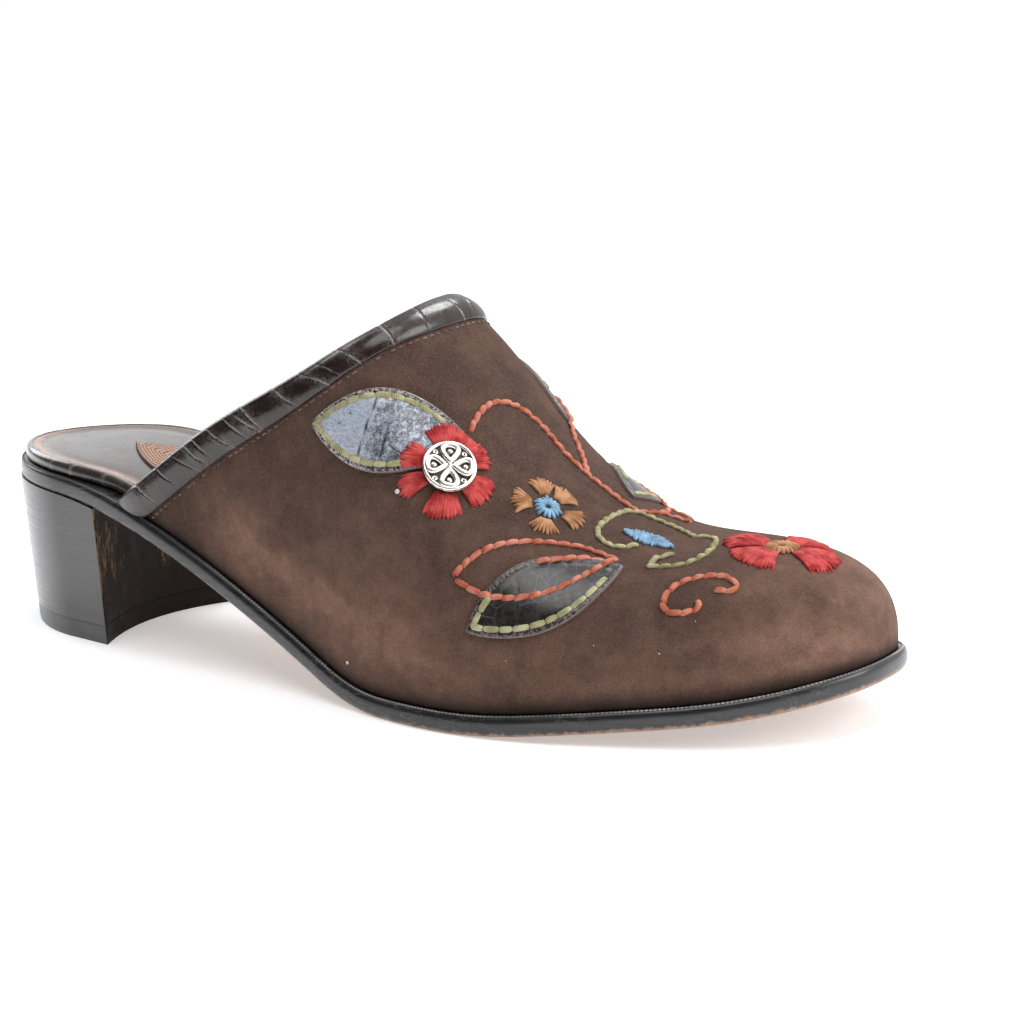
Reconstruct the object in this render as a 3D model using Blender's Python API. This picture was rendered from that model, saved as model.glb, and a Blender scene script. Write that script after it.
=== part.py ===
"""A suede mule for the right foot, on a stacked block heel.

Metres, +Z up, +X towards the toe, -Y the outer side of the foot. The shoe is worked out in
the last's own frame, with x measured from the back of the heel, and every piece is moved at
the end so that the origin is the middle of the footprint, on the ground.

The plan outline, the height of the sole and the crest of the last are short tables and
formulas. The upper, its collar binding, the leaf patches and the button are all read from
one function, last_point(x, v), where v runs across the foot from 0 at the outer feather
edge, over the instep, to 1 at the inner feather edge.
"""
import bmesh
import bpy
import numpy as np

MM = 0.001

# Driving sizes
LENGTH = 260 * MM
GAP = 0.3 * MM
LEDGE = 2.0 * MM
SOLE_THICK = 4.8 * MM
WALL = 1.6 * MM

# Sole seen from above: distance from the heel, centre line, half width
PLAN = np.array([
    (0, 0.0, 26.5),
    (30, 0.0, 28.4),
    (65, -3.3, 29.0),
    (100, -7.2, 27.6),
    (135, -6.8, 33.2),
    (165, -4.9, 40.0),
    (190, -1.6, 41.0),
    (215, 2.8, 38.8),
    (240, 6.3, 37.2),
    (260, 8.4, 35.4)]) * MM
TOE_ROUND_START, TOE_ROUND_POWER = 188 * MM, 2.4
HEEL_ROUND_START, HEEL_ROUND_POWER = 34 * MM, 1.85

# Crest of the last: distance from the heel, height above the ground, sideways place
CREST = np.array([
    (60, 116.0, 1.9),
    (90, 113.5, 2.1),
    (120, 100.0, 2.5),
    (145, 91.8, 3.0),
    (170, 63.4, 3.3),
    (195, 43.8, 4.9),
    (220, 40.9, 7.0),
    (260, 49.0, 8.4)]) * MM
TOE_CAP_START, TOE_CAP_POWER = 206 * MM, 2.35
BELLY = 0.32
ROLL, ROLL_HEIGHT = 0.028, 6.0 * MM

# Side profile of the sole: the flat tread, and the slopes and bends of shank and toe
TREAD_BACK, TREAD_FRONT = 157.0 * MM, 169.0 * MM
SHANK_SLOPE, SHANK_BEND = 0.456, 30.0 * MM
SEAT_BEND = (59.0 * MM, 150.0 * MM)
TOE_SLOPE, TOE_BEND = 0.11, 24.0 * MM
TIP_SLOPE, TIP_BEND = 0.16, (50.0 * MM, 90.0 * MM)

# Collar line, where it leaves the feather edge and where it crosses the instep, and how far
# it dips forwards on each side, with the dip's place and spread in v
COLLAR_SIDE, COLLAR_TOP = 61.0 * MM, 143.7 * MM
COLLAR_DIP, COLLAR_DIP_PLACE, COLLAR_DIP_SPREAD = 3.0 * MM, 0.354, 0.089
BINDING_THICK = 0.6 * MM
BINDING_OUTSIDE, BINDING_NARROWING, BINDING_INSIDE = 7.0 * MM, 1.3 * MM, 13.0 * MM

# Heel
BREAST_TOP, BREAST_FOOT = 50.0 * MM, 49.0 * MM
BREAST_HOLLOW = 8.2 * MM
HEEL_BACK_LEAN = 1.9 * MM
HEEL_TAPER = 0.906
LIFT_THICK = 5.0 * MM

# Insole and the pointed patch sewn on it
INSOLE_THICK = 3.4 * MM
INSOLE_SHELF_HEEL, INSOLE_SHELF_FORE = 2.0 * MM, 5.2 * MM
INSOLE_NARROWS = (36 * MM, 56 * MM)
INSOLE_DISH = 0.5 * MM
SOCK_TIP, SOCK_END, SOCK_POINT = 35.5 * MM, 150 * MM, 22 * MM
SOCK_HALF, SOCK_SIDE, SOCK_THICK = 11.0 * MM, 1.5 * MM, 0.6 * MM

# Leaf patches: place of the middle (x, v), lean of the axis in degrees, length, half width
LEAF_THICK = 0.8 * MM
LEAVES = {
    "leaf_patch_outer_rear": (150.0 * MM, 0.268, 36, 41 * MM, 10.2 * MM),
    "leaf_patch_outer_front": (194.0 * MM, 0.247, 43, 38 * MM, 8.9 * MM),
    "leaf_patch_inner_rear": (148.5 * MM, 0.736, -28, 41 * MM, 10.2 * MM),
    "leaf_patch_inner_front": (180.0 * MM, 0.705, -72, 37 * MM, 8.9 * MM)}

# Button: place of the middle (x, v), radius, and the turned profile as radius, height
BUTTON_PLACE = (165.7 * MM, 0.312)
BUTTON_PROFILE = np.array([
    (6.5, 0.0),
    (6.5, 1.0),
    (6.1, 1.5),
    (5.4, 1.5),
    (5.0, 1.0),
    (1.7, 1.0),
    (1.3, 1.8),
    (0.7, 2.1)]) * MM

# How finely the curved pieces are cut into facets
ACROSS, ALONG = 36, 32
SOLE_STATIONS = 44
BUTTON_SIDES = 28
STEP_X, STEP_V = 0.3 * MM, 0.004


def spline(stations, values, x):
    """Natural cubic spline through the stations, read at x."""
    width = np.diff(stations)
    slope = np.diff(values) / width
    count = len(stations)
    rows, right = np.eye(count), np.zeros(count)
    for i in range(1, count - 1):
        rows[i, i - 1:i + 2] = width[i - 1], 2 * (width[i - 1] + width[i]), width[i]
        right[i] = 6 * (slope[i] - slope[i - 1])
    bend = np.linalg.solve(rows, right)
    k = np.clip(np.searchsorted(stations, x) - 1, 0, count - 2)
    a = (stations[k + 1] - x) / width[k]
    b = 1 - a
    cubic = (a ** 3 - a) * bend[k] + (b ** 3 - b) * bend[k + 1]
    return a * values[k] + b * values[k + 1] + cubic * width[k] ** 2 / 6


def smoothstep(t):
    """0 below 0, 1 above 1, with a smooth S between."""
    t = np.clip(t, 0, 1)
    return t * t * (3 - 2 * t)


def unit(a):
    """Vectors scaled to length 1."""
    return a / np.linalg.norm(a, axis=-1, keepdims=True)


def centre_line(x):
    """Sideways place of the sole's centre line."""
    return spline(PLAN[:, 0], PLAN[:, 1], x)


def half_width(x, inset=0.0):
    """Half width of the sole's outline, drawn in by inset, with round toe and heel ends."""
    toe = np.clip((x - TOE_ROUND_START) / (LENGTH - inset - TOE_ROUND_START), 0, 1)
    heel = np.clip((HEEL_ROUND_START - x) / (HEEL_ROUND_START - inset), 0, 1)
    toe_end = (1 - toe ** TOE_ROUND_POWER) ** (1 / TOE_ROUND_POWER)
    heel_end = (1 - heel ** HEEL_ROUND_POWER) ** (1 / HEEL_ROUND_POWER)
    return (spline(PLAN[:, 0], PLAN[:, 2], x) - inset) * toe_end * heel_end


def bend(d, start, end):
    """Height of a line that is level up to start and bends smoothly to slope 1 at end."""
    t = np.clip((d - start) / (end - start), 0, 1)
    return (end - start) * (t ** 3 - t ** 4 / 2) + np.maximum(d - end, 0)


def tread(x):
    """Height of the sole's underside: seat, shank, flat tread and toe spring."""
    back, front = TREAD_BACK - x, x - TREAD_FRONT
    shank = SHANK_SLOPE * (bend(back, 0, SHANK_BEND) - bend(back, *SEAT_BEND))
    return shank + TOE_SLOPE * bend(front, 0, TOE_BEND) + TIP_SLOPE * bend(front, *TIP_BEND)


def above_tread(x, up):
    """Height of a layer that lies up above the underside, measured square to it."""
    slope = (tread(x + STEP_X) - tread(x - STEP_X)) / (2 * STEP_X)
    return tread(x) + up * np.sqrt(1 + slope ** 2)


def last_point(x, v):
    """Point of the upper's outer face, a skewed arch from feather edge to feather edge."""
    toe = LENGTH - LEDGE
    middle, half = centre_line(x), half_width(x, LEDGE)
    foot = above_tread(x, SOLE_THICK + GAP)
    cap = np.clip((x - TOE_CAP_START) / (toe - TOE_CAP_START), 0, 1)
    cap_end = (1 - cap ** TOE_CAP_POWER) ** (1 / TOE_CAP_POWER)
    rise = (spline(CREST[:, 0], CREST[:, 1], x) - foot) * cap_end
    crest = spline(CREST[:, 0], CREST[:, 2], x)
    crest = np.clip(crest, middle - 0.4 * half, middle + 0.4 * half)
    s, c = np.sin(np.pi * v), np.cos(np.pi * v)
    reach = np.where(c > 0, crest - (middle - half), (middle + half) - crest)
    roll = ROLL * (1 - np.clip(1 - rise * s / ROLL_HEIGHT, 0, 1) ** 2)
    y = crest - c * reach * (1 + BELLY * s ** 2 + roll)
    return np.stack(np.broadcast_arrays(x, y, foot + rise * s), -1)


def last_frame(x, v):
    """Tangent along x and outward normal of the last, just short of the toe's very end."""
    x = np.minimum(x, LENGTH - LEDGE - 2 * STEP_X)
    low, high = np.maximum(v - STEP_V, 0), np.minimum(v + STEP_V, 1)
    along = last_point(x + STEP_X, v) - last_point(x - STEP_X, v)
    across = last_point(x, high) - last_point(x, low)
    return unit(along), unit(np.cross(along, across))


def lifted(x, v, lift):
    """Point of the last moved out by lift along its normal."""
    return last_point(x, v) + lift * last_frame(x, v)[1]


def collar_dip(v):
    """Share of the collar's dip at v: a bell on each side of the instep."""
    side = np.minimum(v, 1 - v)
    return np.exp(-((side - COLLAR_DIP_PLACE) / COLLAR_DIP_SPREAD) ** 2)


def collar_x(v):
    """Distance from the heel at which the collar line crosses each v."""
    return COLLAR_SIDE + (COLLAR_TOP - COLLAR_SIDE) * np.sin(np.pi * v) + COLLAR_DIP * collar_dip(v)


def collar_pace(v):
    """Change of x for each metre square to the collar line, along the surface."""
    low, high = np.maximum(v - STEP_V, 0), np.minimum(v + STEP_V, 1)
    line = unit(last_point(collar_x(high), high) - last_point(collar_x(low), low))
    along, normal = last_frame(collar_x(v), v)
    x_part = along[..., :1]
    square = np.cross(line, normal)
    return (x_part / np.abs((along * square).sum(-1, keepdims=True)))[..., 0]


def body(name, vertices, faces, colour, roughness, metallic=0.0):
    """One closed body with its own material, from points and faces."""
    mesh = bpy.data.meshes.new(name)
    mesh.from_pydata(vertices.reshape(-1, 3).tolist(), [], faces)
    work = bmesh.new()
    work.from_mesh(mesh)
    bmesh.ops.remove_doubles(work, verts=work.verts, dist=0.002 * MM)
    bmesh.ops.recalc_face_normals(work, faces=work.faces)
    work.to_mesh(mesh)
    work.free()
    mesh.shade_smooth()
    mesh.set_sharp_from_angle(angle=np.radians(35))
    thing = bpy.data.objects.new(name, mesh)
    bpy.context.scene.collection.objects.link(thing)
    material = bpy.data.materials.new(name)
    material.use_nodes = True
    shader = material.node_tree.nodes["Principled BSDF"]
    shader.inputs["Base Color"].default_value = (*colour, 1)
    shader.inputs["Roughness"].default_value = roughness
    shader.inputs["Metallic"].default_value = metallic
    mesh.materials.append(material)
    return thing


def slab(outer, inner):
    """Points and faces of the solid between two grids of the same shape."""
    rows, columns = outer.shape[:2]
    number = np.arange(2 * rows * columns).reshape(2, rows, columns)
    top, under = number

    def strip(a, b):
        return np.stack([a[:-1], a[1:], b[1:], b[:-1]], -1).reshape(-1, 4).tolist()

    faces = []
    for i in range(rows - 1):
        faces += strip(top[i], top[i + 1])
        faces += strip(under[i + 1], under[i])
    for edge in (np.s_[0], np.s_[-1], np.s_[:, 0], np.s_[:, -1]):
        faces += strip(top[edge], under[edge])
    return np.stack([outer, inner]), faces


def loft(rings):
    """Points and faces of a tube through closed rings whose two ends shrink to a line."""
    rows, around = rings.shape[:2]
    number = np.arange(rows * around).reshape(rows, around)
    after = np.roll(number, -1, axis=1)
    quads = np.stack([number[:-1], number[1:], after[1:], after[:-1]], -1)
    return rings, quads.reshape(-1, 4).tolist()


def plate(profile, stations, shelf=lambda x: 0 * x, ends=(0, 0)):
    """Rings of a plate that follows the sole: the profile lists side, inset and up."""
    side, inset, up = np.array(profile).T
    t = (1 - np.cos(np.pi * np.linspace(0, 1, stations + 1)))[:, None] / 2
    back, front = ends[0] + inset, LENGTH - ends[1] - inset
    x = back + t * (front - back)
    y = centre_line(x) + side * half_width(x, shelf(x) + inset)
    return np.stack(np.broadcast_arrays(x, y, above_tread(x, up)), -1)


def both_sides(edge):
    """A plate's profile: the edge's inset and up on the outer side, then mirrored."""
    outer = [(-1, inset, up) for inset, up in edge]
    return outer + [(1, inset, up) for inset, up in reversed(edge)]


def build_outsole():
    """Leather sole with a slightly rounded edge, full length and round the heel seat."""
    edge = [
        (0.9 * MM, 0.0),
        (0.2 * MM, 0.8 * MM),
        (0.0, 2.2 * MM),
        (0.0, 3.9 * MM),
        (0.5 * MM, SOLE_THICK)]
    body("outsole", *loft(plate(both_sides(edge), SOLE_STATIONS)), (0.035, 0.034, 0.036), 0.38)


def insole_shelf(x):
    """Shelf left outside the insole: narrow at the open heel, wider inside the upper."""
    start, end = INSOLE_NARROWS
    return INSOLE_SHELF_HEEL + (INSOLE_SHELF_FORE - INSOLE_SHELF_HEEL) * smoothstep(
        (x - start) / (end - start))


def build_insole():
    """Wrapped insole with a rolled rim and a shallow dish."""
    foot = SOLE_THICK + GAP
    edge = [
        (0.3 * MM, foot),
        (0.0, foot + 0.8 * MM),
        (0.0, foot + INSOLE_THICK - 0.8 * MM),
        (0.5 * MM, foot + INSOLE_THICK - 0.1 * MM),
        (1.4 * MM, foot + INSOLE_THICK),
        (3.5 * MM, foot + INSOLE_THICK - INSOLE_DISH)]
    ends = (INSOLE_SHELF_HEEL, INSOLE_SHELF_FORE)
    rings = plate(both_sides(edge), SOLE_STATIONS, insole_shelf, ends)
    body("insole", *loft(rings), (0.075, 0.052, 0.042), 0.4)


def build_sock_patch():
    """Thin patch on the insole, pointed towards the heel."""
    x = np.linspace(0, 1, 25)[:, None] ** 1.5 * (SOCK_END - SOCK_TIP) + SOCK_TIP
    point = np.clip((x - SOCK_TIP) / SOCK_POINT, 0, 1)
    side = np.linspace(-1, 1, 3)[None, :]
    y = centre_line(x) + SOCK_SIDE + side * SOCK_HALF * (1 - (1 - point) ** 1.8)
    under = SOLE_THICK + GAP + INSOLE_THICK - INSOLE_DISH + GAP
    layers = [np.stack(np.broadcast_arrays(x, y, above_tread(x, under + up)), -1)
              for up in (SOCK_THICK, 0.0)]
    body("sock_patch", *slab(*layers), (0.36, 0.17, 0.10), 0.6)


def heel_level(height):
    """Grid of heel points at one height, or just under the sole where height is None."""
    t = (1 - np.cos(np.pi / 2 * np.linspace(0, 1, 15)))[:, None]
    s = np.linspace(-1, 1, 13)[None, :]
    hollow = BREAST_HOLLOW * (1 - s ** 2)
    x_top = t * (BREAST_TOP - hollow)
    y_top = centre_line(x_top) + s * half_width(x_top)
    x_foot = HEEL_BACK_LEAN + t * (BREAST_FOOT - HEEL_BACK_LEAN - hollow)
    y_foot = centre_line(x_top) + s * half_width(x_top) * HEEL_TAPER
    top = tread(x_top) - GAP
    z = top if height is None else np.full_like(y_top, height)
    share = z / top
    x = x_foot + share * (x_top - x_foot)
    y = y_foot + share * (y_top - y_foot)
    return np.stack(np.broadcast_arrays(x, y, z), -1)


def build_heel():
    """Stacked heel block with a hollow breast, and the rubber top lift under it."""
    block = slab(heel_level(None), heel_level(LIFT_THICK + GAP))
    body("heel_block", *block, (0.028, 0.024, 0.024), 0.28)
    lift = slab(heel_level(LIFT_THICK), heel_level(0.0))
    body("top_lift", *lift, (0.02, 0.02, 0.021), 0.5)


def upper_shell(lift):
    """One face of the upper, from the collar line to the toe, as a grid."""
    v = np.linspace(0, 1, ACROSS + 1)[None, :]
    u = 1 - (1 - np.linspace(0, 1, ALONG + 1)[:, None] ** 1.25) ** 1.8
    start, toe = collar_x(v), LENGTH - LEDGE
    x = start + u * (toe - start)
    points = lifted(x, v + 0 * x, lift)
    points[-1] = last_point(np.array(toe), np.array(0.0)) + np.array((lift, 0, 0))
    return points


def build_upper():
    """Hollow suede upper with a real wall, open at the collar, the back and underneath."""
    body("upper", *slab(upper_shell(0.0), upper_shell(-WALL)), (0.095, 0.062, 0.05), 0.95)


def build_binding():
    """Folded strip over the collar edge, a U in section with a wider leg inside."""
    v = np.linspace(0, 1, ACROSS + 1)[None, :]
    turn = np.radians(np.linspace(90, 270, 7))
    outside = np.linspace(1, 0, 4)[:-1, None] * (BINDING_OUTSIDE - BINDING_NARROWING * collar_dip(v))
    inside = np.linspace(0, BINDING_INSIDE, 5)[1:, None] + 0 * v
    skins = []
    for clear in (GAP + BINDING_THICK, GAP):
        radius = WALL / 2 + clear
        down = np.concatenate([outside, radius * np.cos(turn)[:, None] + 0 * v, inside])
        lift = np.concatenate([
            np.full(len(outside), clear),
            radius * np.sin(turn) - WALL / 2,
            np.full(len(inside), -WALL - clear)])[:, None]
        x = collar_x(v) + down * collar_pace(v)
        skins.append(lifted(x, v + 0 * x, lift[..., None]))
    body("collar_binding", *slab(*skins), (0.03, 0.02, 0.018), 0.3)


def draped(place, along, across):
    """Places (x, v) whose offsets from a place, square on to the surface, are as given."""
    x0, v0 = (np.array(value) for value in place)
    middle = last_point(x0, v0)
    tangent, normal = last_frame(x0, v0)
    axes = np.stack([tangent, np.cross(normal, tangent)], -1)
    wanted = np.stack(np.broadcast_arrays(along, across), -1)
    x, v = np.broadcast_arrays(x0, v0, wanted[..., 0])[:2]
    for _ in range(12):
        missing = wanted - (last_point(x, v) - middle) @ axes
        by_x = (last_point(x + STEP_X, v) - last_point(x - STEP_X, v)) @ axes / (2 * STEP_X)
        by_v = (last_point(x, v + STEP_V) - last_point(x, v - STEP_V)) @ axes / (2 * STEP_V)
        scale = by_x[..., 0] * by_v[..., 1] - by_x[..., 1] * by_v[..., 0]
        x = x + (missing[..., 0] * by_v[..., 1] - missing[..., 1] * by_v[..., 0]) / scale
        v = v + (missing[..., 1] * by_x[..., 0] - missing[..., 0] * by_x[..., 1]) / scale
    return x, v


def build_leaves():
    """Leaf-shaped leather patches that lie on the upper."""
    t, s = np.linspace(0, 1, 15)[:, None], np.linspace(-1, 1, 7)[None, :]
    for name, (x, v, lean, length, half) in LEAVES.items():
        down_axis = (t - 0.5) * length
        off_axis = s * half * np.sin(np.pi * t) ** 0.8
        c, d = np.cos(np.radians(lean)), np.sin(np.radians(lean))
        places = draped((x, v), down_axis * c - off_axis * d, down_axis * d + off_axis * c)
        faces = [lifted(*places, lift) for lift in (GAP + LEAF_THICK, GAP)]
        body(name, *slab(*faces), (0.10, 0.10, 0.09), 0.45)


def build_button():
    """Turned metal button on the outer side of the instep, over the end of the rear leaf."""
    turn = np.linspace(0, 2 * np.pi, BUTTON_SIDES, endpoint=False)[None, :]
    radius, height = BUTTON_PROFILE[:, :1], BUTTON_PROFILE[:, 1:]
    rings = np.stack(np.broadcast_arrays(
        radius * np.cos(turn), radius * np.sin(turn), height), -1)
    points, faces = loft(rings)
    number = np.arange(rings.shape[0] * BUTTON_SIDES).reshape(rings.shape[0], BUTTON_SIDES)
    faces += [number[0].tolist()[::-1], number[-1].tolist()]
    thing = body("button", points, faces, (0.6, 0.58, 0.54), 0.35, 1.0)
    x, v = (np.array(value) for value in BUTTON_PLACE)
    tangent, normal = last_frame(x, v)
    matrix = np.eye(4)
    matrix[:3, :3] = np.stack([tangent, np.cross(normal, tangent), normal], -1)
    matrix[:3, 3] = lifted(x, v, GAP + LEAF_THICK + GAP)
    thing.matrix_world = matrix.T.tolist()


def footprint_middle():
    """Middle of the sole's outline, which becomes the origin."""
    corners = np.array([vertex.co for vertex in bpy.data.objects["outsole"].data.vertices])
    return (corners.min(0) + corners.max(0))[:2] / 2


def main():
    for thing in list(bpy.data.objects):
        bpy.data.objects.remove(thing)
    build_outsole()
    build_heel()
    build_insole()
    build_sock_patch()
    build_upper()
    build_binding()
    build_leaves()
    build_button()
    x, y = footprint_middle()
    for thing in bpy.data.objects:
        thing.location.x -= x
        thing.location.y -= y


main()
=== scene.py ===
"""Looks of an embroidered suede mule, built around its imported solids.

Laid out as a Blender add-on: the settings are property groups, each piece or group of like
pieces has an operator, and the panel lists them all. Run as a script, it makes the whole shoe.

Everything is in metres in the shoe's own frame: +X towards the toe, -Y the outer side, +Z up,
with the origin in the middle of the footprint on the ground. The form is worked out as on the
last, with x measured from the back of the heel and v running across the foot, from 0 at the
outer feather edge over the instep to 1 at the inner feather edge.
"""

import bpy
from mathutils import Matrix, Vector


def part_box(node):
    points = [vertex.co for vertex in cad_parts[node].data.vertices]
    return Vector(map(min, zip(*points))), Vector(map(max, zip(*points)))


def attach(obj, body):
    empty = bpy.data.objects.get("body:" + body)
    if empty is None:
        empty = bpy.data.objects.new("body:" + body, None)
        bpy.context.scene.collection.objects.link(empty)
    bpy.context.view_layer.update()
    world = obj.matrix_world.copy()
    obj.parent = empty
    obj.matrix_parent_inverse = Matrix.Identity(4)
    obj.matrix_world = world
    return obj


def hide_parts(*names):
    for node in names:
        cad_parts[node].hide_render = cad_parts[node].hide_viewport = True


bl_info = {
    "name": "Embroidered suede mule",
    "version": (1, 0, 0),
    "blender": (4, 5, 0),
    "location": "3D Viewport > Sidebar > Mule",
    "description": "Finishes a mule's packed solids: suede, leathers, metal button and embroidery",
    "category": "Add Mesh",
}

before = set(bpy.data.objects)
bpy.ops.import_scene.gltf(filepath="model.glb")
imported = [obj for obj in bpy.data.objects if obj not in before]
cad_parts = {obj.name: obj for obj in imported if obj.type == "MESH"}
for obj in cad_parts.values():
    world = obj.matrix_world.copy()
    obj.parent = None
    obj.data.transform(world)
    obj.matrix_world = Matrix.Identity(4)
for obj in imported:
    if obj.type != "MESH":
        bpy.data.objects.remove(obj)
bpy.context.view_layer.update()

import bmesh
import bpy
import numpy as np
from bpy.props import FloatProperty, FloatVectorProperty, IntProperty, PointerProperty

MM = 0.001

# ---------------------------------------------------------------------------------------
# The form of the last, the same as the solids'

SOLE_LOW, SOLE_HIGH = (np.array(corner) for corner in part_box("outsole"))
LENGTH = SOLE_HIGH[0] - SOLE_LOW[0]
GAP = 0.3 * MM
LEDGE = 2.0 * MM
SOLE_THICK = 4.8 * MM
WALL = 1.6 * MM

# Sole seen from above: distance from the heel, centre line, half width
PLAN = np.array([
    (0, 0.0, 26.5),
    (30, 0.0, 28.4),
    (65, -3.3, 29.0),
    (100, -7.2, 27.6),
    (135, -6.8, 33.2),
    (165, -4.9, 40.0),
    (190, -1.6, 41.0),
    (215, 2.8, 38.8),
    (240, 6.3, 37.2),
    (260, 8.4, 35.4)]) * MM
TOE_ROUND_START, TOE_ROUND_POWER = 188 * MM, 2.4
HEEL_ROUND_START, HEEL_ROUND_POWER = 34 * MM, 1.85

# Crest of the last: distance from the heel, height above the ground, sideways place
CREST = np.array([
    (60, 116.0, 1.9),
    (90, 113.5, 2.1),
    (120, 100.0, 2.5),
    (145, 91.8, 3.0),
    (170, 63.4, 3.3),
    (195, 43.8, 4.9),
    (220, 40.9, 7.0),
    (260, 49.0, 8.4)]) * MM
TOE_CAP_START, TOE_CAP_POWER = 206 * MM, 2.35
BELLY = 0.32
ROLL, ROLL_HEIGHT = 0.028, 6.0 * MM

# Side profile of the sole: the flat tread, and the slopes and bends of shank and toe
TREAD_BACK, TREAD_FRONT = 157.0 * MM, 169.0 * MM
SHANK_SLOPE, SHANK_BEND = 0.456, 30.0 * MM
SEAT_BEND = (59.0 * MM, 150.0 * MM)
TOE_SLOPE, TOE_BEND = 0.11, 24.0 * MM
TIP_SLOPE, TIP_BEND = 0.16, (50.0 * MM, 90.0 * MM)

# Collar line, heel, insole and patch on the insole
COLLAR_SIDE, COLLAR_TOP = 61.0 * MM, 143.7 * MM
COLLAR_DIP, COLLAR_DIP_PLACE, COLLAR_DIP_SPREAD = 3.0 * MM, 0.354, 0.089
BINDING_OUTSIDE, BINDING_NARROWING, BINDING_INSIDE = 7.0 * MM, 1.3 * MM, 13.0 * MM
BREAST_TOP, BREAST_FOOT, BREAST_HOLLOW = 50.0 * MM, 49.0 * MM, 8.2 * MM
HEEL_BACK_LEAN, HEEL_TAPER, LIFT_THICK = 1.9 * MM, 0.906, 5.0 * MM
INSOLE_THICK = 3.4 * MM
INSOLE_SHELF_HEEL, INSOLE_SHELF_FORE = 2.0 * MM, 5.2 * MM
INSOLE_NARROWS = (36 * MM, 56 * MM)
INSOLE_DISH = 0.5 * MM
SOCK_TIP, SOCK_END, SOCK_POINT = 35.5 * MM, 150 * MM, 22 * MM
SOCK_HALF, SOCK_SIDE, SOCK_THICK = 11.0 * MM, 1.5 * MM, 0.6 * MM

# Leaf patches: place of the middle (x, v), lean of the axis in degrees, length, half width
LEAF_THICK = 0.8 * MM
LEAVES = {
    "leaf_patch_outer_rear": (150.0 * MM, 0.268, 36, 41 * MM, 10.2 * MM),
    "leaf_patch_outer_front": (194.0 * MM, 0.247, 43, 38 * MM, 8.9 * MM),
    "leaf_patch_inner_rear": (148.5 * MM, 0.736, -28, 41 * MM, 10.2 * MM),
    "leaf_patch_inner_front": (180.0 * MM, 0.705, -72, 37 * MM, 8.9 * MM)}
BUTTON_PLACE = (165.7 * MM, 0.312)

# Soft troughs and ridges of the worn suede: start (x mm, v), end (x mm, v), half width mm, height mm
CREASES = (
    (204, 0.075, 248, 0.095, 4.5, -0.45),
    (212, 0.150, 244, 0.185, 7.0, 0.30),
    (172, 0.060, 181, 0.155, 2.6, -0.28),
    (178, 0.055, 189, 0.140, 2.8, 0.18),
    (163, 0.070, 170, 0.175, 3.0, -0.20),
    (174, 0.945, 184, 0.840, 2.6, -0.28),
    (182, 0.940, 190, 0.860, 2.8, 0.18),
    (118, 0.060, 132, 0.150, 5.0, -0.22),
    (96, 0.050, 112, 0.110, 5.0, 0.18),
    (148, 0.430, 168, 0.520, 7.0, -0.20),
    (205, 0.910, 244, 0.890, 4.5, -0.35))

# Girth over the instep, which turns v into a length, and the steps in x and v for slopes
GIRTH = 150 * MM
STEP_X, STEP_V = 0.3 * MM, 0.004
# Distance within which points are one, and the clearance between surfaces laid on each other
WELD, CLEAR = 0.0008 * MM, 0.02 * MM
AHEAD, UP = np.array((1.0, 0, 0)), np.array((0, 0, 1.0))


def spline(stations, values, x):
    """Natural cubic spline through the stations, read at x."""
    width = np.diff(stations)
    slope = np.diff(values) / width
    count = len(stations)
    rows, right = np.eye(count), np.zeros(count)
    for i in range(1, count - 1):
        rows[i, i - 1:i + 2] = width[i - 1], 2 * (width[i - 1] + width[i]), width[i]
        right[i] = 6 * (slope[i] - slope[i - 1])
    bend = np.linalg.solve(rows, right)
    k = np.clip(np.searchsorted(stations, x) - 1, 0, count - 2)
    a = (stations[k + 1] - x) / width[k]
    b = 1 - a
    cubic = (a ** 3 - a) * bend[k] + (b ** 3 - b) * bend[k + 1]
    return a * values[k] + b * values[k + 1] + cubic * width[k] ** 2 / 6


def smoothstep(t):
    """0 below 0, 1 above 1, with a smooth S between: 3t^2 - 2t^3."""
    t = np.clip(t, 0, 1)
    return t * t * (3 - 2 * t)


def ramp(value, start, width):
    """0 up to start, then rising smoothly to 1 over width."""
    return smoothstep((value - start) / width)


def hump(t, width=1.0):
    """Bell curve: 1 at 0, falling off as exp(-(t / width)^2)."""
    return np.exp(-(t / width) ** 2)


def unit(a):
    """Vectors scaled to length 1."""
    return a / np.maximum(np.linalg.norm(a, axis=-1, keepdims=True), 1e-12)


def rounded(t):
    """Edge rounded off: the square root of t, level beyond 1."""
    return np.sqrt(np.clip(t, 0, 1))


def round_turn(count):
    """Angles of a full turn in equal steps."""
    return np.linspace(0, 2 * np.pi, count, endpoint=False)


def edge_to_edge(count):
    """Row of values from -1 to 1, sin(pi s / 2), close together at both ends."""
    return np.sin(np.pi / 2 * np.linspace(-1, 1, count))[None, :]


def end_to_end(steps):
    """Column of values from 0 to 1, (1 - cos(pi t)) / 2, close together at both ends."""
    return (1 - np.cos(np.pi * np.linspace(0, 1, steps + 1)))[:, None] / 2


def stacked(*parts):
    """Coordinates broadcast together and joined as points."""
    return np.stack(np.broadcast_arrays(*parts), -1)


def centre_line(x):
    """Sideways place of the sole's centre line."""
    return spline(PLAN[:, 0], PLAN[:, 1], x)


def half_width(x, inset=0.0):
    """Half width of the sole's outline, drawn in by inset, with round toe and heel ends."""
    toe = np.clip((x - TOE_ROUND_START) / (LENGTH - inset - TOE_ROUND_START), 0, 1)
    heel = np.clip((HEEL_ROUND_START - x) / (HEEL_ROUND_START - inset), 0, 1)
    toe_end = (1 - toe ** TOE_ROUND_POWER) ** (1 / TOE_ROUND_POWER)
    heel_end = (1 - heel ** HEEL_ROUND_POWER) ** (1 / HEEL_ROUND_POWER)
    return (spline(PLAN[:, 0], PLAN[:, 2], x) - inset) * toe_end * heel_end


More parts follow.
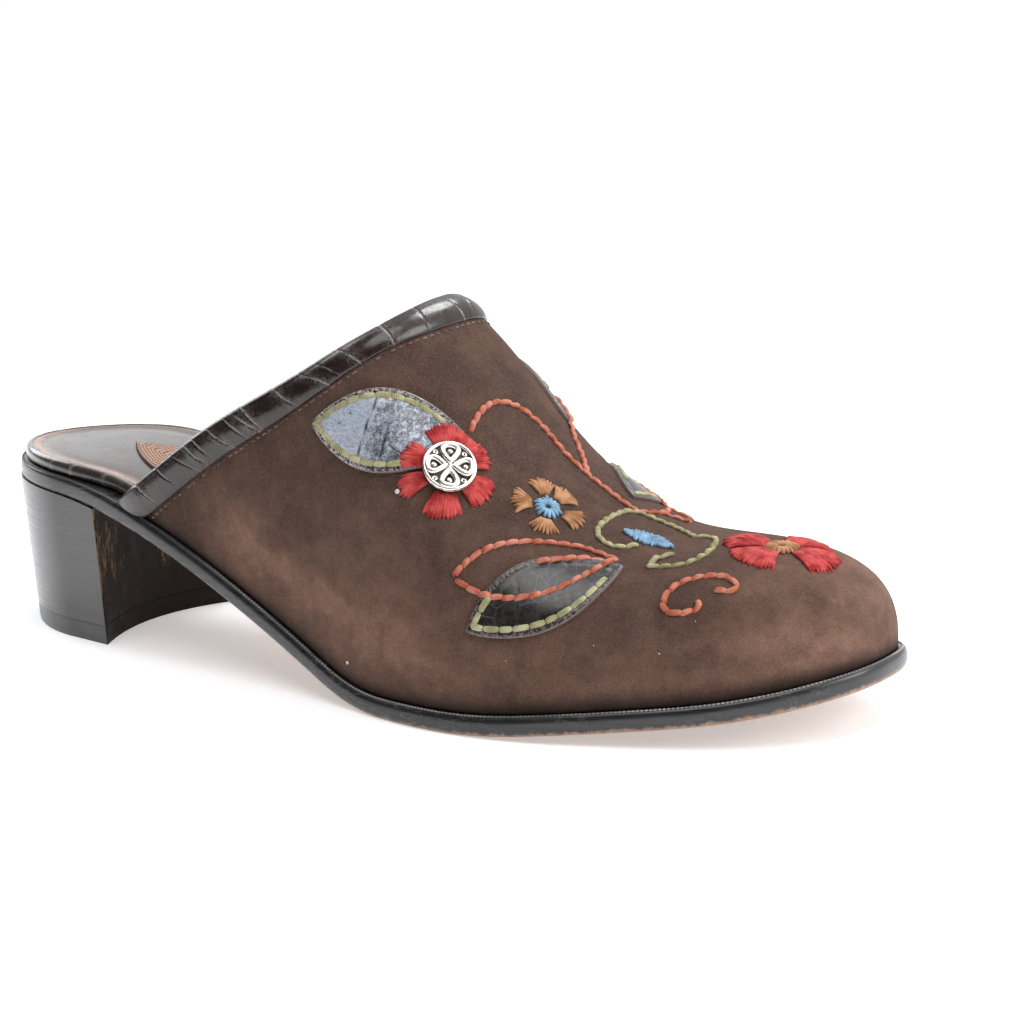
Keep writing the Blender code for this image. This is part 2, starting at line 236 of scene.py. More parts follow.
def bend(d, start, end):
    """Height of a line that is level up to start and bends smoothly to slope 1 at end."""
    t = np.clip((d - start) / (end - start), 0, 1)
    return (end - start) * (t ** 3 - t ** 4 / 2) + np.maximum(d - end, 0)


def tread(x):
    """Height of the sole's underside: seat, shank, flat tread and toe spring."""
    back, front = TREAD_BACK - x, x - TREAD_FRONT
    shank = SHANK_SLOPE * (bend(back, 0, SHANK_BEND) - bend(back, *SEAT_BEND))
    return shank + TOE_SLOPE * bend(front, 0, TOE_BEND) + TIP_SLOPE * bend(front, *TIP_BEND)


def above_tread(x, up):
    """Height of a layer that lies up above the underside, measured square to it."""
    slope = (tread(x + STEP_X) - tread(x - STEP_X)) / (2 * STEP_X)
    return tread(x) + up * np.sqrt(1 + slope ** 2)


def outline_middle():
    """Sideways middle of the sole's outline."""
    x = np.linspace(0, LENGTH, 4001)
    return ((centre_line(x) - half_width(x)).min() + (centre_line(x) + half_width(x)).max()) / 2


SHIFT = np.array([SOLE_LOW[0], (SOLE_LOW[1] + SOLE_HIGH[1]) / 2 - outline_middle(), 0.0])


def last_point(x, v):
    """Point of the upper's outer face, a skewed arch from feather edge to feather edge."""
    toe = LENGTH - LEDGE
    middle, half = centre_line(x), half_width(x, LEDGE)
    foot = above_tread(x, SOLE_THICK + GAP)
    cap = np.clip((x - TOE_CAP_START) / (toe - TOE_CAP_START), 0, 1)
    cap_end = (1 - cap ** TOE_CAP_POWER) ** (1 / TOE_CAP_POWER)
    rise = (spline(CREST[:, 0], CREST[:, 1], x) - foot) * cap_end
    crest = spline(CREST[:, 0], CREST[:, 2], x)
    crest = np.clip(crest, middle - 0.4 * half, middle + 0.4 * half)
    s, c = np.sin(np.pi * v), np.cos(np.pi * v)
    reach = np.where(c > 0, crest - (middle - half), (middle + half) - crest)
    roll = ROLL * (1 - np.clip(1 - rise * s / ROLL_HEIGHT, 0, 1) ** 2)
    y = crest - c * reach * (1 + BELLY * s ** 2 + roll)
    return stacked(x, y, foot + rise * s) + SHIFT


def last_frame(x, v):
    """Tangent along x and outward normal of the last, just short of the toe's very end."""
    x = np.minimum(x, LENGTH - LEDGE - 2 * STEP_X)
    low, high = np.maximum(v - STEP_V, 0), np.minimum(v + STEP_V, 1)
    along = last_point(x + STEP_X, v) - last_point(x - STEP_X, v)
    across = last_point(x, high) - last_point(x, low)
    return unit(along), unit(np.cross(along, across))


def relief(x, v):
    """Height of the creases: each is a bell in the distance to its line, with round ends."""
    place = stacked(x, v * GIRTH)
    waves = np.sin(x / (9 * MM) + 5 * v) * np.sin(19 * v + x / (31 * MM))
    total = 0.06 * MM * waves * smoothstep((LENGTH - x) / (25 * MM))
    for x0, v0, x1, v1, half, height in CREASES:
        start, end = np.array((x0 * MM, v0 * GIRTH)), np.array((x1 * MM, v1 * GIRTH))
        line = end - start
        t = np.clip((place - start) @ line / (line @ line), 0, 1)
        away = np.linalg.norm(place - start - t[..., None] * line, axis=-1)
        total = total + height * MM * hump(away, half * MM)
    return total


def axes_at(x, v):
    """Unit vectors along, across and outwards at a place on the last."""
    tangent, normal = last_frame(x, v)
    return np.stack([tangent, np.cross(normal, tangent), normal], -2)


def skin(x, v, lift=0.0):
    """Point over the worn suede, lifted along the last's normal."""
    lift = np.asarray(lift + relief(x, v))[..., None]
    return last_point(x, v) + lift * last_frame(x, v)[1]


def draped(place, along, across):
    """Places (x, v) whose offsets from a place, square on to the surface, are as given."""
    x0, v0 = (np.array(value) for value in place)
    middle = last_point(x0, v0)
    axes = axes_at(x0, v0)[:2].T
    wanted = stacked(along, across)
    x, v = np.broadcast_arrays(x0, v0, wanted[..., 0])[:2]
    for _ in range(12):
        missing = wanted - (last_point(x, v) - middle) @ axes
        by_x = (last_point(x + STEP_X, v) - last_point(x - STEP_X, v)) @ axes / (2 * STEP_X)
        by_v = (last_point(x, v + STEP_V) - last_point(x, v - STEP_V)) @ axes / (2 * STEP_V)
        scale = by_x[..., 0] * by_v[..., 1] - by_x[..., 1] * by_v[..., 0]
        x = x + (missing[..., 0] * by_v[..., 1] - missing[..., 1] * by_v[..., 0]) / scale
        v = v + (missing[..., 1] * by_x[..., 0] - missing[..., 0] * by_x[..., 1]) / scale
    return x, v


def collar_dip(v):
    """Share of the collar's dip at v: a bell on each side of the instep."""
    return hump(np.minimum(v, 1 - v) - COLLAR_DIP_PLACE, COLLAR_DIP_SPREAD)


def collar_x(v):
    """Distance from the heel at which the collar line crosses each v."""
    return COLLAR_SIDE + (COLLAR_TOP - COLLAR_SIDE) * np.sin(np.pi * v) + COLLAR_DIP * collar_dip(v)


def binding_width(v):
    """Width of the binding's outer leg at v."""
    return BINDING_OUTSIDE - BINDING_NARROWING * collar_dip(v)


def collar_pace(v):
    """Change of x for each metre square to the collar line, along the surface."""
    low, high = np.maximum(v - STEP_V, 0), np.minimum(v + STEP_V, 1)
    line = unit(last_point(collar_x(high), high) - last_point(collar_x(low), low))
    along, normal = last_frame(collar_x(v), v)
    square = np.cross(line, normal)
    x_part = along[..., :1]
    return (x_part / np.abs((along * square).sum(-1, keepdims=True)))[..., 0]


def collar_steps(count):
    """Values of v at equal steps along the collar line, and how far along it each lies."""
    v = np.linspace(0, 1, 1501)
    run = travelled(last_point(collar_x(v), v))
    wanted = np.linspace(0, run[-1], count)
    return np.interp(wanted, run, v), wanted


def travelled(points):
    """Length along a line of points, from its first point."""
    return np.concatenate([[0], np.cumsum(np.linalg.norm(np.diff(points, axis=0), axis=1))])


def along_sole(x, side, inset, up):
    """Point over the sole: side runs from -1 to 1 across the outline drawn in by inset."""
    return stacked(x, centre_line(x) + side * half_width(x, inset), above_tread(x, up)) + SHIFT


# ---------------------------------------------------------------------------------------
# Meshes from whole arrays


def quads(number):
    """Quads of a grid of point numbers."""
    corners = number[:-1, :-1], number[1:, :-1], number[1:, 1:], number[:-1, 1:]
    return np.stack(corners, -1).reshape(-1, 4)


def grid_faces(rows, columns, wrap=False):
    """Quads of a grid of points, closed round its columns where wrap is true."""
    number = np.arange(rows * columns).reshape(rows, columns)
    if wrap:
        number = np.concatenate([number, number[:, :1]], 1)
    return quads(number)


# First and last row and first and last column of every grid in a stack
EDGES = (np.s_[:, 0], np.s_[:, -1], np.s_[:, :, 0], np.s_[:, :, -1])


def shell(outer, inner):
    """Points and quads of the solid between two grids of the same shape."""
    rows, columns = outer.shape[:2]
    number = np.arange(2 * rows * columns).reshape(2, rows, columns)
    top = grid_faces(rows, columns)
    faces = [top, top[:, ::-1] + rows * columns]
    for edge in EDGES:
        a, b = number[edge]
        faces.append(np.stack([a[:-1], a[1:], b[1:], b[:-1]], -1))
    return np.stack([outer, inner]).reshape(-1, 3), np.concatenate(faces)


def looped_rings(rings, high):
    """Points and quads of one tube whose end meets its start, with the mark at its points."""
    rings, high = np.concatenate([rings, rings[:1]]), np.concatenate([high, high[:1]])
    return (rings.reshape(-1, 3), grid_faces(*rings.shape[:2], wrap=True)), high


def tubes(rings):
    """Points and quads of many tubes, given as tube, ring and point round the ring."""
    many, count, around = rings.shape[:3]
    one = grid_faces(count, around, wrap=True)
    faces = (np.arange(many)[:, None, None] * count * around + one).reshape(-1, 4)
    return rings.reshape(-1, 3), faces


def joined(*shapes):
    """Several shapes of points and quads as one."""
    points, faces, count = [], [], 0
    for some_points, some_faces in shapes:
        points.append(some_points)
        faces.append(some_faces + count)
        count += len(some_points)
    return np.concatenate(points), np.concatenate(faces)


def yarn(centre, normal, width, height, sides=8):
    """Rings of many strands: flattened circles round each centre line, square to it.

    The ring at each point is centre + width/2 cos(a) side + height/2 sin(a) normal, where
    side is the cross product of normal and the centre line's direction.
    """
    direction = unit(np.gradient(centre, axis=1))
    side = unit(np.cross(normal, direction))
    turn = round_turn(sides)[:, None]
    wide, high = (np.asarray(size)[..., None, None] / 2 for size in (width, height))
    return (centre[:, :, None] + wide * np.cos(turn) * side[:, :, None]
            + high * np.sin(turn) * normal[:, :, None])


def linked(name, data):
    """A new object in the scene."""
    thing = bpy.data.objects.new(name, data)
    bpy.context.scene.collection.objects.link(thing)
    return thing


def surface(name, points, faces, finish, marks):
    """A mesh with its finish; marks are values at its points, repeated until all have one."""
    mesh = bpy.data.meshes.new(name)
    mesh.from_pydata(points.reshape(-1, 3).tolist(), [], faces.tolist())
    for label, values in marks.items():
        layer = mesh.attributes.new(label, "FLOAT", "POINT")
        layer.data.foreach_set("value", np.resize(values, len(mesh.vertices)).astype(np.float32))
    mesh.materials.append(finish)
    return mesh


def make(name, shape, finish, slot, stands_for=(), uv=None, sharp=40, **marks):
    """One closed piece from points and quads, welded, facing outwards, riding on the shoe.

    marks are values at the points of one face, and uv their place in metres, for the finish.
    """
    points, faces = shape
    mesh = surface(name, points, faces, finish, marks)
    if uv is not None:
        uv = np.resize(uv, (len(points), 2))
        layer = mesh.uv_layers.new(name="UVMap")
        layer.data.foreach_set("uv", uv[faces.ravel()].astype(np.float32).ravel())
    work = bmesh.new()
    work.from_mesh(mesh)
    bmesh.ops.remove_doubles(work, verts=work.verts, dist=WELD)
    bmesh.ops.dissolve_degenerate(work, edges=work.edges, dist=WELD / 2)
    bmesh.ops.recalc_face_normals(work, faces=work.faces)
    work.to_mesh(mesh)
    work.free()
    mesh.shade_smooth()
    mesh.set_sharp_from_angle(angle=np.radians(sharp))
    piece = linked(name, mesh)
    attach(piece, "root")
    if stands_for:
        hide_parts(*stands_for)
    return piece


# ---------------------------------------------------------------------------------------
# Shader nodes: values that take part in sums, effects that materials share


class Signal:
    """A socket's output; sums, differences and products of signals are Math nodes."""

    def __init__(self, nodes, socket):
        self.nodes, self.socket = nodes, socket

    def __add__(self, other):
        return self.nodes.math("ADD", self, other)

    def __sub__(self, other):
        return self.nodes.math("SUBTRACT", self, other)

    def __rsub__(self, other):
        return self.nodes.math("SUBTRACT", other, self)

    def __mul__(self, other):
        return self.nodes.math("MULTIPLY", self, other)


class Nodes:
    """Adds shader nodes to one tree; an input given as a signal is joined, others are set."""

    def __init__(self, tree):
        self.tree = tree

    def put(self, node, inputs):
        """Joins or sets a node's inputs, by name or number."""
        for key, value in inputs.items():
            if isinstance(value, Signal):
                self.tree.links.new(value.socket, node.inputs[key])
            else:
                node.inputs[key].default_value = value

    def add(self, kind, inputs, output=0, **settings):
        """One node with its settings and inputs, and the output asked for."""
        node = self.tree.nodes.new("ShaderNode" + kind)
        for label, value in settings.items():
            setattr(node, label, value)
        self.put(node, inputs)
        return Signal(self, node.outputs[output])

    def signals(self, outputs):
        """The outputs of a node by name."""
        return {socket.name: Signal(self, socket) for socket in outputs if socket.name}

    def use(self, group, **inputs):
        """A shared effect's outputs, by name."""
        node = self.tree.nodes.new("ShaderNodeGroup")
        node.node_tree = group
        self.put(node, inputs)
        return self.signals(node.outputs)

    def mark(self, label):
        """A value stored at the piece's points."""
        return self.add("Attribute", {}, "Fac", attribute_name=label)

    def uv(self):
        """The piece's own map, in metres."""
        return self.add("UVMap", {}, "UV", uv_map="UVMap")

    def stretched(self, vector, scale, turn=(0, 0, 0)):
        """Coordinates scaled along each axis and turned."""
        turn = [np.radians(angle) for angle in turn]
        return self.add("Mapping", {"Vector": vector, "Scale": scale, "Rotation": turn})

    def noise(self, vector, scale, detail=3.0, rough=0.55, warp=0.0):
        """Soft noise with features of about 1 / scale."""
        return self.add("TexNoise", {
            "Vector": vector, "Scale": scale, "Detail": detail, "Roughness": rough,
            "Distortion": warp}, "Fac")

    def cells(self, vector, scale, feature="DISTANCE_TO_EDGE"):
        """Distance in a pattern of cells, to the nearest edge or centre."""
        return self.add("TexVoronoi", {"Vector": vector, "Scale": scale, "Randomness": 1.0},
                        "Distance", feature=feature)

    def wave(self, vector, scale, warp, axis="X"):
        """Smooth bands across one axis."""
        return self.add("TexWave", {
            "Vector": vector, "Scale": scale, "Distortion": warp, "Detail": 2.0},
            "Fac", bands_direction=axis)

    def math(self, operation, *values):
        """Arithmetic on values."""
        return self.add("Math", dict(enumerate(values)), operation=operation)

    def most(self, a, b):
        """The greater of two values."""
        return self.math("MAXIMUM", a, b)

    def fit(self, value, start, end, low=0.0, high=1.0, kind="SMOOTHSTEP"):
        """Value taken from start..end to low..high, clamped."""
        return self.add("MapRange", {
            "Value": value, "From Min": start, "From Max": end, "To Min": low, "To Max": high},
            "Result", interpolation_type=kind)

    def fade(self, value, start, end):
        """1 at start, falling to 0 at end."""
        return self.fit(value, start, end, 1.0, 0.0)

    def blend(self, share, a, b):
        """Mix of two values."""
        return self.add("Mix", {0: share, 2: a, 3: b}, data_type="FLOAT")

    def tint(self, share, a, b, mode="MIX"):
        """Mix of two colours."""
        a, b = (value if isinstance(value, Signal) else (*value, 1) for value in (a, b))
        return self.add("Mix", {0: share, 6: a, 7: b}, 2, data_type="RGBA", blend_type=mode)

    def bump(self, height, strength, depth, under=None):
        """Normal from a height; depth is the height of 1, in metres."""
        inputs = {"Height": height, "Strength": strength, "Distance": depth}
        if under is not None:
            inputs["Normal"] = under
        return self.add("Bump", inputs, "Normal")


def shared_effect(name, inputs, outputs, build):
    """A node group, built once: inputs are name and default, outputs are name and kind."""
    tree = bpy.data.node_groups.get(name)
    if tree:
        return tree
    tree = bpy.data.node_groups.new(name, "ShaderNodeTree")
    for label, default in inputs.items():
        kind = {float: "Float", tuple: "Color"}.get(type(default), "Vector")
        socket = tree.interface.new_socket(label, in_out="INPUT", socket_type="NodeSocket" + kind)
        if default is not None:
            socket.default_value = default
    for label, kind in outputs.items():
        tree.interface.new_socket(label, in_out="OUTPUT", socket_type="NodeSocket" + kind)
    start, end = tree.nodes.new("NodeGroupInput"), tree.nodes.new("NodeGroupOutput")
    n = Nodes(tree)
    n.put(end, build(n, n.signals(start.outputs)))
    return tree


def cloudy():
    """Blotches at two sizes, from 0 to 1, with soft edges."""
    def build(n, given):
        wide = n.noise(given["Place"], given["Scale"], 3.0, 0.6, 0.4)
        fine = n.noise(given["Place"], given["Scale"] * 4.3, 4.0, 0.6)
        return {"Mask": n.fit(wide * 0.68 + fine * 0.32, 0.36, 0.64)}
    return shared_effect("cloudy", {"Place": None, "Scale": 60.0}, {"Mask": "Float"}, build)


def fine_grain():
    """Leather grain: small rounded cells with pores, as a height."""
    def build(n, given):
        drift = n.add("TexNoise", {"Vector": given["Place"], "Scale": 900.0}, "Color")
        drift = n.add("VectorMath", {0: drift, 1: (0.4 * MM,) * 3}, operation="MULTIPLY")
        bent = n.add("VectorMath", {0: given["Place"], 1: drift}, operation="ADD")
        cells = n.fit(n.cells(bent, given["Scale"]), 0.0, 0.28)
        pores = n.noise(given["Place"], given["Scale"] * 2.5, 3.0, 0.7)
        return {"Height": n.blend(0.35, cells, pores)}
    return shared_effect("fine_grain", {"Place": None, "Scale": 1400.0}, {"Height": "Float"}, build)


def scratches():
    """Thin broken streaks along the stretched coordinates, as a mask."""
    def build(n, given):
        streak = n.noise(given["Place"], 1.0, 4.0, 0.65)
        broken = n.noise(given["Place"], 0.23, 2.0, 0.5)
        thin = n.fade(n.math("ABSOLUTE", streak - 0.5), 0.0, given["Width"])
        return {"Mask": thin * n.fit(broken, 0.48, 0.62)}
    return shared_effect("scratches", {"Place": None, "Width": 0.012}, {"Mask": "Float"}, build)


def dusty():
    """Fine pale dust and lint: rare small specks and a faint haze, as a mask."""
    def build(n, given):
        spots = n.fade(n.cells(given["Place"], 420.0, "F1"), 0.02, 0.09)
        rare = n.fit(n.noise(given["Place"], 95.0, 2.0), 0.60, 0.68)
        haze = n.fit(n.noise(given["Place"], 260.0, 5.0, 0.7), 0.52, 0.85, 0.0, 0.35)
        return {"Mask": n.most(spots * rare, haze) * given["Amount"]}
    return shared_effect("dusty", {"Place": None, "Amount": 0.3}, {"Mask": "Float"}, build)


def twisted():
    """Yarn: slanting plies and loose fibres along a strand's own map, tint and height; the tint is painted
    shade low on the plies and painted highlight on their crowns.
    """
    def build(n, given):
        plies = n.wave(n.stretched(given["Map"], (1.0, 1.0, 1.0), (0, 0, 24)), 620.0, 1.5)
        fibres = n.noise(n.stretched(given["Map"], (420.0, 5200.0, 1.0)), 1.0, 4.0, 0.75)
        height = plies * given["Twist"] + fibres * 0.85
        # Painted shade and highlight: low parts of the plies are darkened towards deep, high parts
        # lightened towards pale.
        shade = n.fit(height, 0.28, 0.80)
        deep = n.tint(1.0, given["Colour"], (0.42, 0.36, 0.36), "MULTIPLY")
        pale = n.tint(0.22, given["Colour"], (1.0, 0.86, 0.78))
        strand = n.noise(given["Place"], 330.0, 1.0)
        colour = n.tint(n.fit(strand, 0.3, 0.7), n.tint(shade, deep, given["Colour"]),
                        n.tint(shade, given["Colour"], pale))
        return {"Colour": colour, "Height": height}
    given = {"Map": None, "Place": None, "Colour": (1.0, 1.0, 1.0, 1.0), "Twist": 0.28}
    return shared_effect("twisted", given, {"Colour": "Color", "Height": "Float"}, build)


# ---------------------------------------------------------------------------------------
# Finishes


class Finish(Nodes):
    """A material: its nodes, its object coordinates in metres and its Principled shader."""

    def __init__(self, name, roughness=0.5, metallic=0.0, **constants):
        self.material = bpy.data.materials.new(name)
        self.material.use_nodes = True
        super().__init__(self.material.node_tree)
        self.wire(Roughness=roughness, Metallic=metallic, **constants)
        self.place = self.add("TexCoord", {}, "Object")

    def wire(self, **inputs):
        """Joins or sets the shader's sockets and returns the material."""
        inputs = {label.replace("_", " "): value for label, value in inputs.items()}
        self.put(self.tree.nodes["Principled BSDF"], inputs)
        return self.material

    def along(self, axis):
        """One object coordinate."""
        return self.add("SeparateXYZ", {0: self.place}, axis)

    def streaks(self, scale, detail=3.0, rough=0.55, turn=(0, 0, 0), warp=0.0):
        """Noise on object coordinates scaled along each axis and turned."""
        return self.noise(self.stretched(self.place, scale, turn), 1.0, detail, rough, warp)

    def clouds(self, scale):
        """Soft blotches."""
        return self.use(cloudy(), Place=self.place, Scale=scale)["Mask"]

    def grain(self, scale):
        """Leather grain, as a height."""
        return self.use(fine_grain(), Place=self.place, Scale=scale)["Height"]

    def scuffs(self, scale, width, turn=(0, 0, 0)):
        """Scratches, stretched as the scale says."""
        return self.use(scratches(), Place=self.stretched(self.place, scale, turn), Width=width)["Mask"]

    def dust(self, amount):
        """Pale dust."""
        return self.use(dusty(), Place=self.place, Amount=amount)["Mask"]


def times(colour, factor):
    """A colour made brighter or darker by a factor."""
    return [factor * value for value in colour]


def suede_finish(settings):
    """Suede: nap blotches, pale places that are partly wear and partly painted light, short fibres, dust, a
    painted shadow along the feather edge and a soft sheen.
    """
    n = Finish("suede", 0.95, Sheen_Weight=0.10, Sheen_Roughness=0.5, Sheen_Tint=(0.9, 0.72, 0.62, 1),
               Specular_IOR_Level=0.08)
    patches = n.streaks((110.0, 110.0, 150.0), 4.0, 0.65, (0, 25, 0))
    # The worn mark is partly real wear and partly painted light: floor bounce on the low band, sheen on the
    # toe.
    worn = n.mark("worn") * n.fit(patches, 0.32, 0.68, 0.55, 1.30)
    share = n.clouds(settings.cloud_scale) * 0.28 + worn * 0.80
    colour = n.tint(n.fit(share, 0.0, 1.0, kind="LINEAR"), settings.dark, settings.pale)
    brushed = n.streaks((250.0, 250.0, 200.0), 5.0, 0.7, (0, 40, 20))
    colour = n.tint(n.fit(brushed, 0.32, 0.70, 0.0, 0.32), colour, settings.dark)
    nap = n.noise(n.place, 1900.0, 5.0, 0.8)
    colour = n.tint(n.fit(nap, 0.38, 0.70, 0.0, 0.42), colour, settings.fibre)
    specks = n.noise(n.place, 3600.0, 3.0, 0.7)
    colour = n.tint(n.fit(specks, 0.40, 0.66, 0.34, 0.0), colour, (0.008, 0.006, 0.005))
    hairs = n.scuffs((420.0, 300.0, 420.0), 0.01, (0, 18, 30))
    colour = n.tint(hairs * 0.12, colour, (0.38, 0.30, 0.26))
    colour = n.tint(n.dust(0.10), colour, (0.42, 0.34, 0.29))
    # Painted shadow: the suede darkens within a few millimetres of the feather edge, where it meets the
    # sole.
    colour = n.tint(n.mark("edge") * 0.80, colour, (0.008, 0.006, 0.006))
    height = nap * 0.55 + n.noise(n.place, 750.0, 5.0, 0.72) * 0.8
    normal = n.bump(height, 0.75, 0.26 * MM, n.bump(brushed, 0.2, 0.25 * MM))
    return n.wire(Base_Color=colour, Normal=normal)


def lining_finish(settings):
    """Dark smooth lining leather with a soft grain."""
    n = Finish("lining", 0.5, Specular_IOR_Level=0.35)
    colour = n.tint(n.clouds(70.0), settings.lining, times(settings.lining, 1.7))
    return n.wire(Base_Color=colour, Normal=n.bump(n.grain(1600.0), 0.3, 0.12 * MM))


def binding_finish(settings):
    """Glossy espresso leather: smooth body, thin pale worn creases, small wrinkles by them."""
    n = Finish("binding", 0.25, Coat_Weight=0.25, Coat_Roughness=0.08)
    pinch = n.mark("pinch")
    wrinkles = n.noise(n.place, 900.0, 5.0, 0.7)
    body = n.tint(n.clouds(140.0), settings.colour, [value * 1.6 + 0.001 for value in settings.colour])
    wear = n.fit(n.mark("crease"), 0.25, 0.75) * n.fit(wrinkles, 0.34, 0.50)
    folds = n.fade(n.cells(n.place, 1000.0), 0.0, 0.10) * pinch * 0.30
    colour = n.tint(n.most(wear * 0.85, folds), body, settings.pale)
    height = wrinkles * pinch * 0.8 + n.grain(2200.0) * 0.10 - folds * 0.8
    rough = n.fit(wrinkles + pinch * 0.15, 0.3, 0.8, 0.14, 0.42)
    return n.wire(Base_Color=colour, Roughness=rough, Normal=n.bump(height, 0.45, 0.22 * MM))


def sole_finish(settings):
    """Edge of the leather sole, dyed dark and polished, its lower half painted lighter as a reflection,
    worn to tan along its lower line.
    """
    n = Finish("sole_edge", 0.36, Coat_Weight=0.25, Coat_Roughness=0.2)
    up = n.mark("up")
    lines = n.streaks((9.0, 9.0, 1500.0), 3.0, 0.6)
    # Painted reflection: the lower half of the edge is a lighter grey than the upper band; both are the
    # same dye.
    edge = n.tint(n.fit(up, 0.50, 0.80), settings.edge_low_painted_light, settings.edge_high)
    edge = n.tint(n.fit(lines, 0.35, 0.75, 0.0, 0.5), edge, settings.edge_high)
    ahead = n.fit(n.along("X"), -0.045, 0.055)
    level = up + n.fit(n.streaks((420.0, 420.0, 130.0), 5.0, 0.7), 0.3, 0.7, -0.09, 0.09)
    reach = n.blend(ahead, 0.10, 0.24) + n.fit(n.along("X"), 0.03, 0.12) * 0.03
    bare = n.most(n.fade(level, 0.06, reach) * n.blend(ahead, 0.45, 1.0), n.mark("under"))
    tan = n.tint(n.clouds(90.0), settings.tan, times(settings.tan, 0.75))
    fibres = n.streaks((1100.0, 1100.0, 160.0), 3.0, 0.7)
    tan = n.tint(n.fit(fibres, 0.4, 0.7, 0.0, 0.5), tan, times(settings.tan, 0.35))
    colour = n.tint(bare, edge, tan)
    colour = n.tint(n.scuffs((60.0, 420.0, 420.0), 0.02) * 0.35, colour, (0.20, 0.17, 0.15))
    rough = n.blend(bare, n.fit(lines, 0.3, 0.7, 0.26, 0.42), 0.75)
    height = lines * 0.7 + n.grain(1300.0) * 0.2
    return n.wire(Base_Color=colour, Roughness=rough, Normal=n.bump(height, 0.3, 0.10 * MM))


def bead_finish(settings):
    """Waxed thread-like bead line, pale on top of each bead."""
    n = Finish("bead_line", 0.42)
    patchy = n.fit(n.noise(n.place, 60.0), 0.35, 0.65, 0.3, 1.0)
    forward = n.fit(n.along("X"), -0.06, 0.0, 0.15, 1.0)
    share = n.fit(n.mark("high"), 0.25, 0.7) * patchy * forward
    # The beads start from the edge's lighter lower-band grey, a painted reflection.
    return n.wire(Base_Color=n.tint(share, settings.edge_low_painted_light, settings.bead))


def stacked_heel_finish(settings):
    """Polished near-black heel with fine level lines and light scratches."""
    n = Finish("stacked_heel", 0.3, Coat_Weight=0.45, Coat_Roughness=0.15)
    lines = n.streaks((10.0, 10.0, 1500.0), 4.0, 0.65)
    colour = n.tint(n.fit(lines, 0.42, 0.7, 0.0, 0.6), settings.heel, settings.heel_pale)
    colour = n.tint(n.scuffs((130.0, 130.0, 900.0), 0.010) * 0.22, colour, (0.30, 0.28, 0.28))
    return n.wire(Base_Color=colour, Roughness=n.fit(lines, 0.25, 0.8, 0.24, 0.40),
                  Normal=n.bump(lines, 0.25, 0.05 * MM))


def breast_finish(settings):
    """Dark crumpled skin on the heel's front: gold where its rim is torn, and drips of glue."""
    n = Finish("heel_breast", 0.55, Specular_IOR_Level=0.12)
    mottle = n.noise(n.place, 260.0, 5.0, 0.7)
    dark = n.tint(n.fit(mottle, 0.42, 0.66), settings.breast, times(settings.breast, 2.2))
    worn = n.fit(n.streaks((140.0, 140.0, 50.0), 3.0, 0.6), 0.50, 0.62)
    drips = n.scuffs((520.0, 520.0, 70.0), 0.03)
    flecks = n.fit(n.streaks((900.0, 900.0, 260.0), 3.0, 0.7), 0.56, 0.62)
    low = n.fit(n.along("Z"), 0.012, 0.020)
    marks = low * n.most(drips * worn * 0.6, flecks * worn * 0.7)
    torn = n.fit(n.streaks((700.0, 700.0, 220.0), 4.0, 0.7), 0.44, 0.54)
    gold = n.most(marks, n.mark("rim") * (torn * 0.8))
    return n.wire(Base_Color=n.tint(gold, dark, settings.scuff),
                  Roughness=n.fit(mottle, 0.3, 0.7, 0.45, 0.75),
                  Normal=n.bump(mottle + gold, 0.35, 0.3 * MM))


def lift_finish(settings):
    """Rubber top lift with a dusty, slightly torn edge."""
    n = Finish("top_lift", 0.36, Coat_Weight=0.35, Coat_Roughness=0.25)
    colour = n.tint(n.clouds(160.0), settings.lift, times(settings.lift, 2))
    height = n.streaks((300.0, 300.0, 1400.0), 4.0)
    return n.wire(Base_Color=n.tint(n.dust(0.5), colour, (0.22, 0.2, 0.18)),
                  Normal=n.bump(height, 0.4, 0.12 * MM))


def insole_finish(settings):
    """Wrapped insole: glossy middle, burnished band inside two rim lines whose tops carry painted
    highlights, dark pressed edge.
    """
    n = Finish("insole", 0.30, Coat_Weight=0.6, Coat_Roughness=0.16)
    inward = n.mark("inward")
    clouds = n.clouds(55.0)
    ragged = n.noise(n.place, 240.0, 4.0, 0.6)
    reach = inward + n.fit(ragged, 0.3, 0.7, -0.5, 0.5)
    near = n.fit(n.along("Y"), -0.006, 0.012, 1.0, 0.25)
    band = near * (n.fit(reach, 2.2, 2.7) * n.fade(reach, 3.4, 5.2))
    shadow = n.fit(reach, 4.6, 5.8) * n.fade(reach, 6.0, 9.5)
    middle = n.tint(clouds, settings.middle, times(settings.middle, 0.75))
    middle = n.tint(shadow * (near * 0.8), middle, times(settings.burnish, 0.22))
    colour = n.tint(band * n.fit(clouds, 0.0, 1.0, 0.45, 0.9), middle, settings.burnish)
    colour = n.tint(n.fade(inward, 1.7, 2.3), colour, settings.rim)
    # Pale creases are wear; the pale tops of the two rim ridges are painted highlights.
    pale = n.most(n.mark("crease") * 0.35, n.mark("ridge") * 0.45)
    colour = n.tint(pale, colour, (0.40, 0.33, 0.30))
    colour = n.tint(n.scuffs((50.0, 380.0, 380.0), 0.012) * 0.10, colour, (0.45, 0.38, 0.34))
    soft = n.bump(n.noise(n.place, 120.0, 2.0), 0.12, 0.5 * MM)
    return n.wire(Base_Color=colour, Roughness=n.fit(ragged, 0.3, 0.75, 0.22, 0.34),
                  Normal=n.bump(n.grain(1500.0), 0.10, 0.08 * MM, soft))


